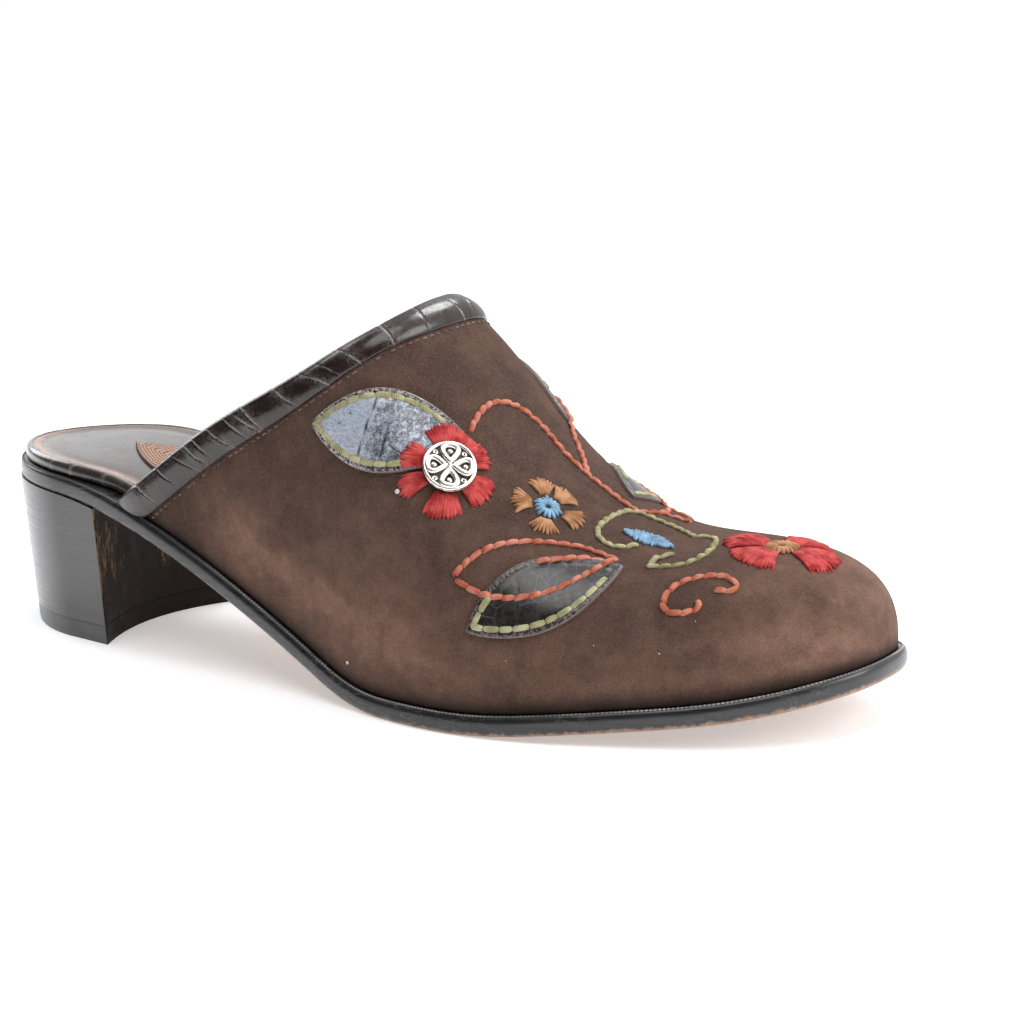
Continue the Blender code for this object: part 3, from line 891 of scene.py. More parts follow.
def sock_finish(settings):
    """Tan patch covered in rows of fine stitches that follow its outline, with painted shade between them.
    """
    n = Finish("sock_leather", 0.62, Specular_IOR_Level=0.3)
    uv = n.uv()
    knots = n.wave(uv, 300.0, 0.3, "Y") * n.fit(n.wave(uv, 260.0, 0.6), 0.15, 0.6, 0.30, 1.0)
    base = n.tint(n.clouds(130.0), settings.sock, times(settings.sock, 0.75))
    thread = n.tint(0.35, base, (0.80, 0.62, 0.48))
    # Painted shade: colour follows the stitch height, thread colour on the stitches, darker between them.
    colour = n.tint(n.fit(knots, 0.25, 0.7), times(settings.sock, 0.45), thread)
    colour = n.tint(n.mark("border") * 0.8, colour, (0.07, 0.035, 0.022))
    return n.wire(Base_Color=colour, Normal=n.bump(knots, 0.7, 0.30 * MM))


def leaf_finish(settings):
    """Dark patent leather with thin pale crackle, silvered where marked, and a raw speckled edge."""
    n = Finish("leaf_leather", 0.32, 0.2, Coat_Weight=0.2, Coat_Roughness=0.15)
    silvered, border = n.mark("silvered"), n.mark("border")
    crumpled = n.noise(n.place, 650.0, 5.0, 0.75, 0.8)
    tilted = n.streaks((500.0, 900.0, 1500.0), 5.0, 0.75, (20, 30, 0), 0.5)
    crackle = n.fade(n.cells(n.place, 850.0), 0.0, 0.10)
    small = n.fade(n.cells(n.place, 2300.0), 0.0, 0.16)
    patent = n.tint(n.fit(crumpled, 0.4, 0.7), settings.patent, times(settings.patent, 1.8))
    patent = n.tint(n.fade(n.cells(n.uv(), 230.0), 0.0, 0.03) * 0.07, patent, settings.foil)
    patent = n.tint(small * silvered, patent, settings.foil)
    foil = n.tint(n.fit(tilted, 0.26, 0.48), settings.foil_dark, settings.foil)
    foil = n.tint(n.most(crackle, small) * 0.4, foil, settings.foil_dark)
    patchy = n.fit(silvered + n.fit(crumpled, 0.3, 0.7, -0.3, 0.3), 0.25, 0.75)
    colour = n.tint(patchy, patent, foil)
    colour = n.tint(n.mark("vein"), colour, (0.008, 0.008, 0.009))
    speckle = n.fit(n.noise(n.place, 1400.0, 3.0, 0.7), 0.47, 0.56)
    edge_pale = n.tint(silvered, (0.13, 0.105, 0.095), (0.46, 0.42, 0.43))
    colour = n.tint(border, colour, n.tint(speckle, (0.014, 0.012, 0.012), edge_pale))
    colour = n.tint(n.mark("raw"), colour, settings.foil_edge)
    height = tilted * silvered * 1.2 + (crumpled * 0.25 + speckle * border * 0.5)
    return n.wire(Base_Color=colour, Metallic=patchy * 0.35 * (1.0 - border),
                  Roughness=n.fit(crumpled, 0.3, 0.7, 0.20, 0.42),
                  Normal=n.bump(height, 0.5, 0.16 * MM))


def yarn_finish(name, colour, twist):
    """Embroidery yarn of one colour, twisted or as loose floss."""
    n = Finish("yarn_" + name, 0.8, Sheen_Weight=0.06, Sheen_Roughness=0.5, Specular_IOR_Level=0.18)
    parts = n.use(twisted(), Map=n.uv(), Place=n.place, Colour=(*colour, 1), Twist=twist)
    return n.wire(Base_Color=parts["Colour"], Normal=n.bump(parts["Height"], 0.6, 0.16 * MM))


def silver_finish(settings):
    """Silver-toned metal, bright on its high places and dark in its hollows."""
    n = Finish("button_silver", 0.28, 1.0)
    stain = n.noise(n.place, 1500.0, 4.0, 0.65)
    bright = n.fit(n.mark("high") + n.fit(stain, 0.3, 0.7, -0.22, 0.22), 0.25, 0.70)
    return n.wire(Base_Color=n.tint(bright, settings.silver_dark, settings.silver),
                  Roughness=n.blend(bright, 0.6, 0.24), Metallic=n.blend(bright, 0.5, 1.0),
                  Normal=n.bump(stain, 0.25, 0.08 * MM))


def lint_finish(settings):
    """Pale fluff with a faint mottle."""
    n = Finish("lint", 0.9, Specular_IOR_Level=0.2)
    return n.wire(Base_Color=n.tint(n.clouds(8.0) * 0.04, settings.lint, (0.7, 0.7, 0.7)))


def floor_finish(settings):
    """Matt white floor with a faint mottle and a little light of its own."""
    n = Finish("floor", 0.9, Specular_IOR_Level=0.1, Emission_Strength=1.0)
    colour = n.tint(n.clouds(6.0) * 0.03, settings.floor, (0.7, 0.7, 0.72))
    glow = n.tint(n.mark("far"), times(settings.floor, settings.floor_glow), (1, 1, 1))
    return n.wire(Base_Color=colour, Emission_Color=glow)


# ---------------------------------------------------------------------------------------
# The leather and suede pieces


def upper_layer(lift, rows, columns):
    """One face of the upper, as a grid from the collar line to the toe, with its x and v."""
    v = np.linspace(0, 1, columns + 1)[None, :]
    u = 1 - (1 - np.linspace(0, 1, rows + 1)[:, None] ** 1.25) ** 1.8
    start, toe = collar_x(v), LENGTH - LEDGE
    x, v = np.broadcast_arrays(start + u * (toe - start), v)
    points = skin(x, v, lift)
    points[-1] = last_point(np.array(toe), np.array(0.0)) + np.array((lift, 0, 0))
    return points, x, v


def wear_and_painted_light(x, v):
    """How pale the suede is, partly from wear and partly painted light: low band from quarter to ball
    (painted floor bounce), the side above it, the toe (painted sheen).
    """
    side, x = np.minimum(v, 1 - v), x / MM
    low = hump(side - 0.053, 0.033) * ramp(x, 80, 28) * (1 - 0.62 * ramp(x, 157, 24))
    above = ramp(x, 112, 16) * (1 - ramp(x, 232, 10)) * hump(side - 0.125, 0.055)
    vamp = hump(x - 176, 42) * hump(side - 0.235, 0.075)
    toe = ramp(x, 218, 33) * ramp(side, 0.035, 0.05)
    toe_side = hump(x - 248, 9) * hump(side - 0.15, 0.045)
    ball = hump(x - 160, 13) * hump(side - 0.105, 0.035) + hump(x - 189, 9) * hump(side - 0.11, 0.035)
    ridge = ramp(side, 0.32, 0.1) * (1 - ramp(x, 190, 30))
    return (1.08 * low + 0.23 * above + 0.11 * vamp + 0.58 * toe + 0.48 * toe_side + 0.34 * ball
            - 0.05 * ridge)


def make_upper(settings):
    """Suede outside and lining inside, each a closed shell between two lifts of the last."""
    suede = settings.suede_thick
    outer, x, v = upper_layer(0.0, settings.rows, settings.columns)
    inner = upper_layer(-suede, settings.rows, settings.columns)[0]
    above = outer[..., 2] - above_tread(x, SOLE_THICK)
    # worn holds wear and painted light (floor bounce low down, sheen on the toe).
    make("upper_suede", shell(outer, inner), suede_finish(settings), "upper_suede", ["upper"],
         # edge is a painted shadow along the feather edge.
         worn=wear_and_painted_light(x, v), edge=hump(np.maximum(above, 0), 2.9 * MM))
    layers = [upper_layer(lift, settings.rows // 3, settings.columns // 3)[0]
              for lift in (-suede - CLEAR, -WALL)]
    make("upper_lining", shell(*layers), lining_finish(settings), "upper_suede")


def creases_along(run, spacing, spread, seed):
    """Places of pressed creases along a strip: steps of spacing, each varied by spread."""
    draw = np.random.default_rng(seed)
    count = int(run / spacing) + 2
    steps = spacing * (1 + spread * draw.uniform(-1, 1, count))
    places = np.cumsum(steps)
    keep = places < run - spacing / 2
    return places[keep], draw.uniform(-1, 1, count)[keep], draw.uniform(0.55, 1, count)[keep]


# Binding: half widths, slant, waver and depth of the creases, and the strip's clearance of the suede
CREASE_WIDTH, PINCH_WIDTH, CREASE_SLANT = 0.24 * MM, 2.0 * MM, 0.22
CREASE_WAVER, CREASE_WAVE, CREASE_DEPTH = 0.16 * MM, 1.9 * MM, 0.30 * MM
WRINKLE_DEPTH, UNDERSIDE = 0.06 * MM, 0.03 * MM


def make_binding(settings):
    """Strip folded over the collar: rounded leg, round fold, wider leg inside, pressed creases.

    Across the strip, down is the distance square to the collar line and lift the height over
    the wall. The outer leg's section is a quarter of an oval, highest by the fold, and each
    crease is a narrow bell in the distance along the strip.
    """
    v, run = (values[:, None] for values in collar_steps(settings.steps))
    turn = np.radians(np.linspace(90, 270, 17))[1:-1]
    share = np.sin(np.pi / 2 * np.linspace(1, 0, 17))
    outside = share * binding_width(v)
    inside = np.linspace(0, 1, 15) * BINDING_INSIDE + 0 * v
    flat = np.concatenate([outside, -WALL * (turn / np.pi - 0.5) + 0 * v, -WALL - inside], 1)
    crease, pinch = np.zeros_like(flat), np.zeros_like(flat)
    for place, slant, depth in zip(*creases_along(run[-1, 0], settings.scale_length, 0.6, 5)):
        line = place + slant * CREASE_SLANT * flat + CREASE_WAVER * np.sin(flat / CREASE_WAVE + 9 * slant)
        reach = hump(flat - (3.2 + 2.0 * slant) * MM, (2.8 + 3.0 * depth ** 3) * MM)
        crease = np.maximum(crease, depth * reach * hump(run - line, CREASE_WIDTH))
        pinch = np.maximum(pinch, (depth > 0.86) * reach * hump(run - line, PINCH_WIDTH))
    section = rounded(1 - share ** 2.4) + 0.62 * np.sin(np.pi * share) ** 0.8
    body_height = np.concatenate([
        0.30 + 0.90 * section, np.linspace(1.2, 0.85, len(turn)),
        0.42 + 0.42 * smoothstep(np.linspace(5, 0, 15))]) * MM
    wrinkle = np.sin(run / (0.55 * MM) + flat / (1.1 * MM)) * pinch
    height = body_height - CREASE_DEPTH * crease + WRINKLE_DEPTH * wrinkle
    skins = []
    for clear in (height, np.full_like(height, UNDERSIDE)):
        on, over, within = np.split(clear, np.cumsum((len(share), len(turn))), axis=1)
        radius = WALL / 2 + over
        down = np.concatenate([outside, radius * np.cos(turn), inside], 1)
        lift = np.concatenate([on, radius * np.sin(turn) - WALL / 2, -WALL - within], 1)
        skins.append(skin(collar_x(v) + down * collar_pace(v), v + 0 * down, lift))
    make("collar_binding_strip", shell(*skins), binding_finish(settings), "binding_leather",
         ["collar_binding"], crease=crease, pinch=pinch)


# Edge of the outsole: inset in front and inset under the heel seat, mm, and share of its height
SOLE_EDGE = (
    (14.0, 14.0, 0.0), (5.0, 5.0, 0.0), (2.0, 2.0, 0.0), (1.15, 1.05, 0.0), (0.75, 0.70, 0.025),
    (0.42, 0.50, 0.09), (0.18, 0.42, 0.19), (0.04, 0.40, 0.33), (0.0, 0.38, 0.48),
    (0.0, 0.38, 0.60), (0.08, 0.40, 0.73), (0.28, 0.48, 0.855), (0.62, 0.72, 0.945),
    (1.05, 1.10, 0.99), (1.6, 1.6, 1.0), (3.0, 3.0, 1.0), (12.0, 12.0, 1.0))
SEAT_FRONT, SEAT_BLEND = 44 * MM, 34 * MM


def make_outsole(settings):
    """Sole with rounded edges, flatter over the heel, and the wheeled bead line on its edge."""
    fore, seat, share = np.array(SOLE_EDGE + SOLE_EDGE[::-1]).T
    fore, seat = fore * MM, seat * MM
    side = np.repeat([-1.0, 1.0], len(SOLE_EDGE))
    t = end_to_end(settings.stations)
    x = seat + t * (LENGTH - fore - seat)
    inset = seat + (fore - seat) * ramp(x, SEAT_FRONT, SEAT_BLEND)
    rings = along_sole(x, side, inset, share * SOLE_THICK)
    make("outsole_leather", tubes(rings[None]), sole_finish(settings), "outsole_leather", ["outsole"],
         up=share, under=(fore > 1.0 * MM) & (share < 0.5))
    make_beads(settings)


# Bead line: inset from the sole's edge, depth that it is sunk, steps to a bead
BEAD_INSET, BEAD_SUNK, BEAD_STEPS = 1.0 * MM, 0.10 * MM, 6


def make_beads(settings):
    """Wheeled line: one thin cord all round, swelling at each bead as sqrt(sin) of its place."""
    x = BEAD_INSET + (1 - np.cos(np.linspace(0, np.pi, 6001))) / 2 * (LENGTH - 2 * BEAD_INSET)
    outer, inner = (along_sole(x, side, BEAD_INSET, SOLE_THICK - BEAD_SUNK) for side in (-1, 1))
    line = np.concatenate([outer, inner[-2:0:-1]])
    run = travelled(line)
    beads = int(run[-1] / settings.bead_pitch)
    wanted = np.linspace(0, run[-1], beads * BEAD_STEPS, endpoint=False)
    centre = np.stack([np.interp(wanted, run, line[:, k]) for k in range(3)], -1)
    swell = np.sqrt(np.clip(np.sin(np.pi * ((wanted / run[-1] * beads) % 1)), 0.02, 1))
    ahead = unit(np.roll(centre, -1, 0) - np.roll(centre, 1, 0))
    sideways = unit(np.cross(ahead, UP))[:, None]
    upward = unit(np.cross(sideways[:, 0], ahead))[:, None]
    turn = round_turn(6)[None, :, None]
    size = settings.bead_width / 2 * (0.55 + 0.45 * swell)[:, None, None]
    rings = centre[:, None] + size * (np.cos(turn) * sideways + 0.8 * np.sin(turn) * upward)
    high = swell[:, None] * (0.5 + 0.5 * np.sin(turn[..., 0]))
    shape, high = looped_rings(rings, high)
    make("wheeled_beads", shape, bead_finish(settings), "outsole_leather", high=high)


def heel_level(height, side_steps=46, across_steps=33):
    """Level of the heel at a height in metres, or under the seat where the height is None.

    The heel is ruled from the seat's outline to the drawn-in outline on the ground: each point
    lies on the straight line between the two, at the wanted height.
    """
    t = (1 - np.cos(np.pi / 2 * np.linspace(0, 1, side_steps)))[:, None]
    s = edge_to_edge(across_steps)
    hollow = BREAST_HOLLOW * (1 - s ** 2)
    x_top = t * (BREAST_TOP - hollow)
    y_top = centre_line(x_top) + s * half_width(x_top)
    x_foot = HEEL_BACK_LEAN + t * (BREAST_FOOT - HEEL_BACK_LEAN - hollow)
    y_foot = centre_line(x_top) + s * half_width(x_top) * HEEL_TAPER
    top = tread(x_top)
    z = top if height is None else np.minimum(height, top)
    share = z / top
    return stacked(x_foot + share * (x_top - x_foot), y_foot + share * (y_top - y_foot), z) + SHIFT


def heel_solid(grids, soften):
    """Closed solid through a stack of levels, its first and last drawn in by soften."""
    levels, rows, across = grids.shape[:3]
    ends = np.minimum(np.arange(levels), np.arange(levels)[::-1])[:, None, None, None] == 0
    level = grids[..., :2] - grids.mean((1, 2), keepdims=True)[..., :2]
    grids = np.concatenate([grids[..., :2] - soften * ends * unit(level), grids[..., 2:]], -1)
    number = np.arange(grids[..., 0].size).reshape(grids.shape[:3])
    faces = [grid_faces(rows, across)[:, ::-1], grid_faces(rows, across) + number[-1, 0, 0]]
    for edge in EDGES:
        faces.append(quads(number[edge]))
    used, faces = np.unique(np.concatenate(faces), return_inverse=True)
    return grids.reshape(-1, 3)[used], faces.reshape(-1, 4)


# Heel: rough half width and height of its front, its rounded edge and torn rim, the seam over the
# lift, the rounding of stack and lift, and the lift's dark skin
FRONT_HALF, FRONT_HEIGHT, FRONT_ROUND, FRONT_RIM = 24 * MM, 36 * MM, 0.8 * MM, 2.2 * MM
LIFT_SEAM, STACK_SOFTEN, LIFT_SOFTEN, LIFT_SKIN = 0.12 * MM, 0.06 * MM, 0.15 * MM, 0.10 * MM


def make_heel(settings):
    """Heel block ruled from the seat to the lift, rubber lift, and the dark skin on their front."""
    low, high = heel_level(LIFT_THICK + LIFT_SEAM), heel_level(None)
    t = np.linspace(0, 1, 30)[:, None, None, None]
    grids = low + t * (high - low)
    make("heel_stack", heel_solid(grids, STACK_SOFTEN), stacked_heel_finish(settings), "heel_leather",
         ["heel_block"])
    front = grids[:, -1, 1:-1] + CLEAR * AHEAD
    s = np.abs(np.linspace(-1, 1, front.shape[1]))
    up = np.linspace(0, 1, len(front))[:, None]
    edge = np.minimum((1 - s) * FRONT_HALF, np.minimum(2 * up, 1 - up) * FRONT_HEIGHT)
    thick = settings.breast_thick * rounded(edge / FRONT_ROUND)
    rim = (1 - smoothstep(edge / FRONT_RIM)) * ramp(up, 0.10, 0.08)
    skinned = front + (CLEAR + thick)[..., None] * AHEAD
    look = breast_finish(settings)
    make("heel_breast", shell(skinned, front), look, "heel_leather", rim=rim)
    grids = np.stack([heel_level(height) for height in LIFT_THICK * np.linspace(0, 1, 7)])
    make("heel_lift", heel_solid(grids, LIFT_SOFTEN), lift_finish(settings), "top_lift_rubber",
         ["top_lift"])
    front = grids[:, -1, 1:-1] + CLEAR * AHEAD
    make("lift_front", shell(front + LIFT_SKIN * AHEAD, front), look, "top_lift_rubber", rim=0.0)


# Edge and top of the insole: inset and height over the outsole, mm
INSOLE_EDGE = (
    (12.0, 0.0), (1.3, 0.0), (0.5, 0.05), (0.15, 0.3), (0.0, 0.8), (0.0, 1.5), (0.08, 2.1),
    (0.28, 2.62), (0.6, 3.02), (1.05, 3.28), (1.55, 3.38), (1.95, 3.33), (2.2, 3.14), (2.4, 3.04),
    (2.65, 3.12), (2.95, 3.17), (3.3, 3.13), (3.7, 3.02), (4.4, 2.88), (5.2, 2.74), (5.9, 2.68),
    (6.6, 2.72), (7.6, 2.82), (9.0, 2.90), (11.0, 2.90), (14.0, 2.90))
INSOLE_RIDGES = (1.5, 2.95)
RIM_CREASE_WIDTH, RIM_CREASE_DEPTH = 0.26 * MM, 0.10 * MM


def insole_shelf(x):
    """Shelf left outside the insole: narrow at the open heel, wider inside the upper."""
    start, end = INSOLE_NARROWS
    return INSOLE_SHELF_HEEL + (INSOLE_SHELF_FORE - INSOLE_SHELF_HEEL) * ramp(x, start, end - start)


def make_insole(settings):
    """Insole wrapped in pressed leather: creased edge, two rim lines, groove and low cushion."""
    inset, up = np.array(INSOLE_EDGE + INSOLE_EDGE[::-1]).T
    side = np.repeat([-1.0, 1.0], len(INSOLE_EDGE))
    back, front = INSOLE_SHELF_HEEL + inset * MM, LENGTH - INSOLE_SHELF_FORE - inset * MM
    x = back + end_to_end(settings.stations) * (front - back)
    rings = along_sole(x, side, insole_shelf(x) + inset * MM, SOLE_THICK + GAP + up * MM)
    run = x[:, :1] + 0 * x
    crease = np.zeros_like(run)
    for place, slant, depth in zip(*creases_along(LENGTH, settings.crease_spacing, 0.5, 3)):
        line = place + slant * (0.5 * MM + 0.3 * MM * inset)
        crease = np.maximum(crease, depth * hump(run - line, RIM_CREASE_WIDTH))
    crease = crease * (inset < 1.7)
    rings = rings - RIM_CREASE_DEPTH * crease[..., None] * UP
    # ridge marks the tops of the two rim ridges, painted paler in the finish as highlights.
    ridge = sum(hump(inset - place, 0.22) for place in INSOLE_RIDGES) * (up > 3)
    inward = np.where(up < 2.7, np.minimum(inset, 0.5), inset)
    make("insole_wrapped", tubes(rings[None]), insole_finish(settings), "insole_leather", ["insole"],
         inward=inward, ridge=ridge, crease=crease)


def sock_place(x, side, up):
    """Point of the pointed patch: side runs from -1 to 1 between its edges."""
    point = np.clip((x - SOCK_TIP) / SOCK_POINT, 0, 1)
    half = SOCK_HALF * (1 - (1 - point) ** 1.8)
    under = SOLE_THICK + GAP + INSOLE_THICK - INSOLE_DISH
    return stacked(x, centre_line(x) + SOCK_SIDE + side * half, above_tread(x, under + up)) + SHIFT


def make_sock_patch(settings):
    """Thin tan patch with a rounded edge, covered in stitched rows, with a sewn border."""
    x = (np.linspace(0, 1, 90)[:, None] ** 1.5) * (SOCK_END - SOCK_TIP) + SOCK_TIP
    side = edge_to_edge(25)
    top = sock_place(x, side, GAP + SOCK_THICK - 0.35 * MM * np.abs(side) ** 8)
    base = sock_place(x, side, 0.06 * MM + 0 * x)
    half = np.linalg.norm(sock_place(x, 1, 0 * x) - sock_place(x, -1, 0 * x), axis=-1) / 2
    inward = np.minimum((1 - np.abs(side)) * half, (x - SOCK_TIP) * 0.6)
    border = 1 - ramp(inward, 0.3 * MM, 0.3 * MM)
    make("sock_patch_tan", shell(top, base), sock_finish(settings), "sock_leather", ["sock_patch"],
         stacked(x, inward), border=border)


def leaf_half(leaf, t):
    """Half width of a leaf, half sin(pi t)^0.8 at the share t of its length."""
    return LEAVES[leaf][4] * np.sin(np.pi * t) ** 0.8


def turned_by(angle, along, across):
    """Offsets turned by an angle in degrees."""
    c, s = np.cos(np.radians(angle)), np.sin(np.radians(angle))
    return along * c - across * s, along * s + across * c


def leaf_plane(leaf, t, s, inset=0.0):
    """Offsets (along, across) from a leaf's middle: t runs tip to tip, s from edge to edge."""
    lean, length = LEAVES[leaf][2:4]
    return turned_by(lean, (t - 0.5) * length, s * np.maximum(leaf_half(leaf, t) - inset, 0))


# Straight pressed veins of the rear and front leaves: place as a share of the length, slant
REAR_VEINS, FRONT_VEINS = ((0.40, 0.10), (0.53, -0.04)), ((0.34, 0.30), (0.66, 0.25))
# Veins, the dent along the seam, the rounded edge, the speckled border and the raw cut edge
VEIN_WIDTH, VEIN_DEPTH, VEIN_CLEAR = 0.20 * MM, 0.14 * MM, 2.2 * MM
DENT_WIDTH, DENT_DEPTH, LEAF_ROUND = 0.8 * MM, 0.20 * MM, 0.8 * MM
BORDER_WIDTH, RAW_WIDTH = 1.4 * MM, 0.10 * MM


def make_leaves(settings):
    """Leaf patches pressed down at the sewn border, with veins; the rear ones are silvered."""
    material = leaf_finish(settings)
    t = np.linspace(0, 1, 76)[:, None]
    s = edge_to_edge(41)
    for leaf, (*middle, _, length, _) in LEAVES.items():
        rear = "rear" in leaf
        x, v = draped(middle, *leaf_plane(leaf, t, s))
        half = leaf_half(leaf, t)
        inward = np.minimum((1 - np.abs(s)) * half, np.minimum(t, 1 - t) * length * 0.8)
        dent = DENT_DEPTH * hump(inward - settings.stitch_inset, DENT_WIDTH)
        lift = LEAF_THICK * (0.55 + 0.45 * rounded(inward / LEAF_ROUND)) - dent
        vein = np.zeros_like(inward)
        for place, slant in REAR_VEINS if rear else FRONT_VEINS:
            line = t * length - place * length - slant * s * half
            vein = np.maximum(vein, hump(line, VEIN_WIDTH))
        vein = vein * ramp(inward, VEIN_CLEAR, 0.8 * MM)
        lift = lift - VEIN_DEPTH * vein
        silvered = rear * (1 - 0.62 * ramp(t, 0.26, 0.26)) + 0 * s
        make(leaf + "_foil", shell(skin(x, v, GAP + lift), skin(x, v, GAP * 0.3 + 0 * lift)), material,
             "leaf_leather", [leaf], stacked(t * length, s * half), vein=vein, silvered=silvered,
             border=1 - ramp(inward, BORDER_WIDTH, 0.5 * MM),
             raw=1 - ramp(inward, RAW_WIDTH, 0.22 * MM))


# ---------------------------------------------------------------------------------------
# The button


# Button, mm. Plate: radius, height and brightness of its profile. Ring: radius, height, wire.
PLATE = ((0, 0, 0), (6.1, 0, 0), (6.2, 0.3, 0.5), (6.0, 0.55, 0.5), (5.4, 0.5, 0), (4.5, 0.4, 0),
         (2.0, 0.42, 0), (0, 0.45, 0))
RING_RADIUS, RING_HEIGHT, RING_WIRE = 5.85, 1.05, 0.46
# Loops: start, length, half width, height, wire. Beads in them: place, height, radius, rise.
LOOP_START, LOOP_LENGTH, LOOP_HALF, LOOP_HEIGHT, LOOP_WIRE = 1.15, 4.05, 2.42, 1.35, 0.66
BEAD_PLACE, BEAD_HEIGHT, BEAD_RADIUS, BEAD_RISE = 3.70, 0.5, 0.95, 0.85
# Small rings between the loops: place, height, radius, wire. Knob: height, radius, rise.
EYE_PLACE, EYE_HEIGHT, EYE_RADIUS, EYE_WIRE = 4.75, 0.75, 0.42, 0.20
KNOB_HEIGHT, KNOB_RADIUS, KNOB_RISE = 0.6, 0.85, 1.3


def make_button(settings):
    """Round button: dished plate, raised ring, four tear-shaped loops, each round a bead.

    The ring and loops are tubes along closed curves; a loop is y = w cos(a)(1 + sin(a)) / 2
    beside x = start + length (1 + sin(a)) / 2. The plate, beads and knob are turned profiles.
    """
    shapes, highs = [], []
    angle = round_turn(96)

    def add(shape, high):
        shapes.append(shape)
        highs.append(high.ravel())

    def turned(profile, middle, sides):
        turn = round_turn(sides)
        radius, height, high = np.array(profile).T[..., None]
        radius, height = radius * MM, height * MM
        rings = stacked(radius * np.cos(turn), radius * np.sin(turn), height) + middle
        add((rings.reshape(-1, 3), grid_faces(len(radius), sides, wrap=True)), high + 0 * turn)

    def dome(radius, rise, base, high):
        arc = np.linspace(0, np.pi / 2, len(high) - 1)
        return stacked(np.append(0, radius * np.cos(arc)), np.append(0, rise * np.sin(arc)) + base, high)

    def looped(x, y, height, wire, flat=0.8, around=12):
        line = stacked(x, y, height * MM)
        ahead = unit(np.roll(line, -1, 0) - np.roll(line, 1, 0))
        side = unit(np.cross(ahead, UP))
        turn = round_turn(around)[None, :, None]
        rings = line[:, None] + wire * MM * (np.cos(turn) * side[:, None] + flat * np.sin(turn) * UP)
        add(*looped_rings(rings, 0.55 + 0.45 * np.broadcast_to(np.sin(turn[..., 0]), rings.shape[:2])))

    turned(PLATE, 0, 40)
    looped(RING_RADIUS * MM * np.cos(angle), RING_RADIUS * MM * np.sin(angle), RING_HEIGHT, RING_WIRE)
    for number in range(4):
        turn = np.radians(90 * number + settings.turn)
        c, s = np.cos(turn), np.sin(turn)
        swell = (1 + np.sin(angle)) / 2
        along = (LOOP_START + LOOP_LENGTH * swell) * MM
        beside = LOOP_HALF * np.cos(angle) * (0.16 + 0.84 * swell ** 0.75) * MM
        looped(along * c - beside * s, along * s + beside * c, LOOP_HEIGHT, LOOP_WIRE, 0.65)
        bead = np.array((BEAD_PLACE * c, BEAD_PLACE * s, BEAD_HEIGHT)) * MM
        turned(dome(BEAD_RADIUS, BEAD_RISE, 0, (0, 0, 0, 0.1, 0.4, 0.7, 0.85, 0.9)), bead, 18)
        way = turn + np.radians(45)
        looped(EYE_PLACE * MM * np.cos(way) + EYE_RADIUS * MM * np.cos(angle),
               EYE_PLACE * MM * np.sin(way) + EYE_RADIUS * MM * np.sin(angle), EYE_HEIGHT, EYE_WIRE, 0.8, 8)
    turned(dome(KNOB_RADIUS, KNOB_RISE, KNOB_HEIGHT, (0, 0, 0.2, 0.5, 0.7, 0.85, 0.9, 0.95, 1)), 0, 24)
    points, faces = joined(*shapes)
    x, v = np.array(BUTTON_PLACE)
    points = skin(x, v, settings.lift) + points @ axes_at(x, v)
    make("button_silver", (points, faces), silver_finish(settings), "button_metal", ["button"],
         high=np.concatenate(highs))


# ---------------------------------------------------------------------------------------
# Embroidery

# Lines of backstitch on the suede: points as x mm and v. The mirrored ones are repeated on the
# inner side, INNER_BACK mm further back and raised by INNER_UP in v, which lowers them a little.
CORAL_LINES = {
    "stem": ((164.9, 0.379), (163.6, 0.428), (165.5, 0.475), (169.7, 0.497), (176, 0.500),
             (184.8, 0.510), (194.7, 0.506)),
    "side_stem": ((162, 0.640), (166.6, 0.620), (171.5, 0.580), (176.5, 0.545), (181, 0.511)),
    "over_stem": ((194.9, 0.508), (197.0, 0.545), (196.6, 0.580), (195.2, 0.606)),
    "ridge_stem": ((197.0, 0.548), (200.6, 0.560), (204.5, 0.556)),
    "leaf_upper": ((204.1, 0.362), (195.6, 0.366), (188.9, 0.342), (181, 0.287), (174.2, 0.197)),
    "leaf_lower": ((174.4, 0.193), (181, 0.196), (188.2, 0.214), (196.5, 0.260), (203.4, 0.350)),
    "leaf_vein": ((189.3, 0.292), (195, 0.327), (203.9, 0.360)),
    "scroll": ((226.6, 0.272), (227.4, 0.245), (223, 0.231), (219.9, 0.290), (224.1, 0.333),
               (230.8, 0.336), (232.9, 0.300), (229.4, 0.299))}
CORAL_MIRRORED = ("leaf_upper", "leaf_lower", "leaf_vein")
INNER_BACK, INNER_UP = 6.0, -0.015
GREEN_LINES = {
    "scroll": ((204.5, 0.417), (201.3, 0.396), (195.6, 0.404), (193.2, 0.449), (194.9, 0.503),
               (203, 0.505), (212.6, 0.475)),
    "hook": ((212.6, 0.476), (216.0, 0.482), (219.6, 0.452), (220.6, 0.410), (218.6, 0.372),
             (211, 0.356)),
    "hook_end": ((211, 0.360), (212.2, 0.388), (213.8, 0.401))}

# Petals of satin stitch: direction and half spread in degrees, inner and outer radius in mm
RED_PETALS = ((149, 26, 5.0, 11.9), (92, 29, 5.0, 11.2), (21, 24, 5.0, 11.9), (-42, 22, 5.0, 12.6),
              (-104, 14, 5.0, 12.2), (-147, 17, 5.0, 11.4))
TOE_PETALS = ((-2, 32, 3.0, 14.4), (72, 34, 3.0, 13.6), (178, 32, 3.0, 14.4), (252, 34, 3.0, 13.6))
INNER_PETALS = tuple((72 * k + 20, 27, 2.6, 10.5) for k in range(5))
OCHRE_PETALS = ((142, 26, 3.6, 9.2), (90, 27, 3.6, 9.6), (21, 27, 3.6, 9.6), (-59, 27, 3.6, 9.2),
                (-140, 26, 3.6, 9.2))
ROUND_CENTRE, TOE_CENTRE = ((0, 176, 0.45, 3.7),), ((0, 176, 0.45, 4.5),)
OCHRE_PLACE = (183.6 * MM, 0.397)
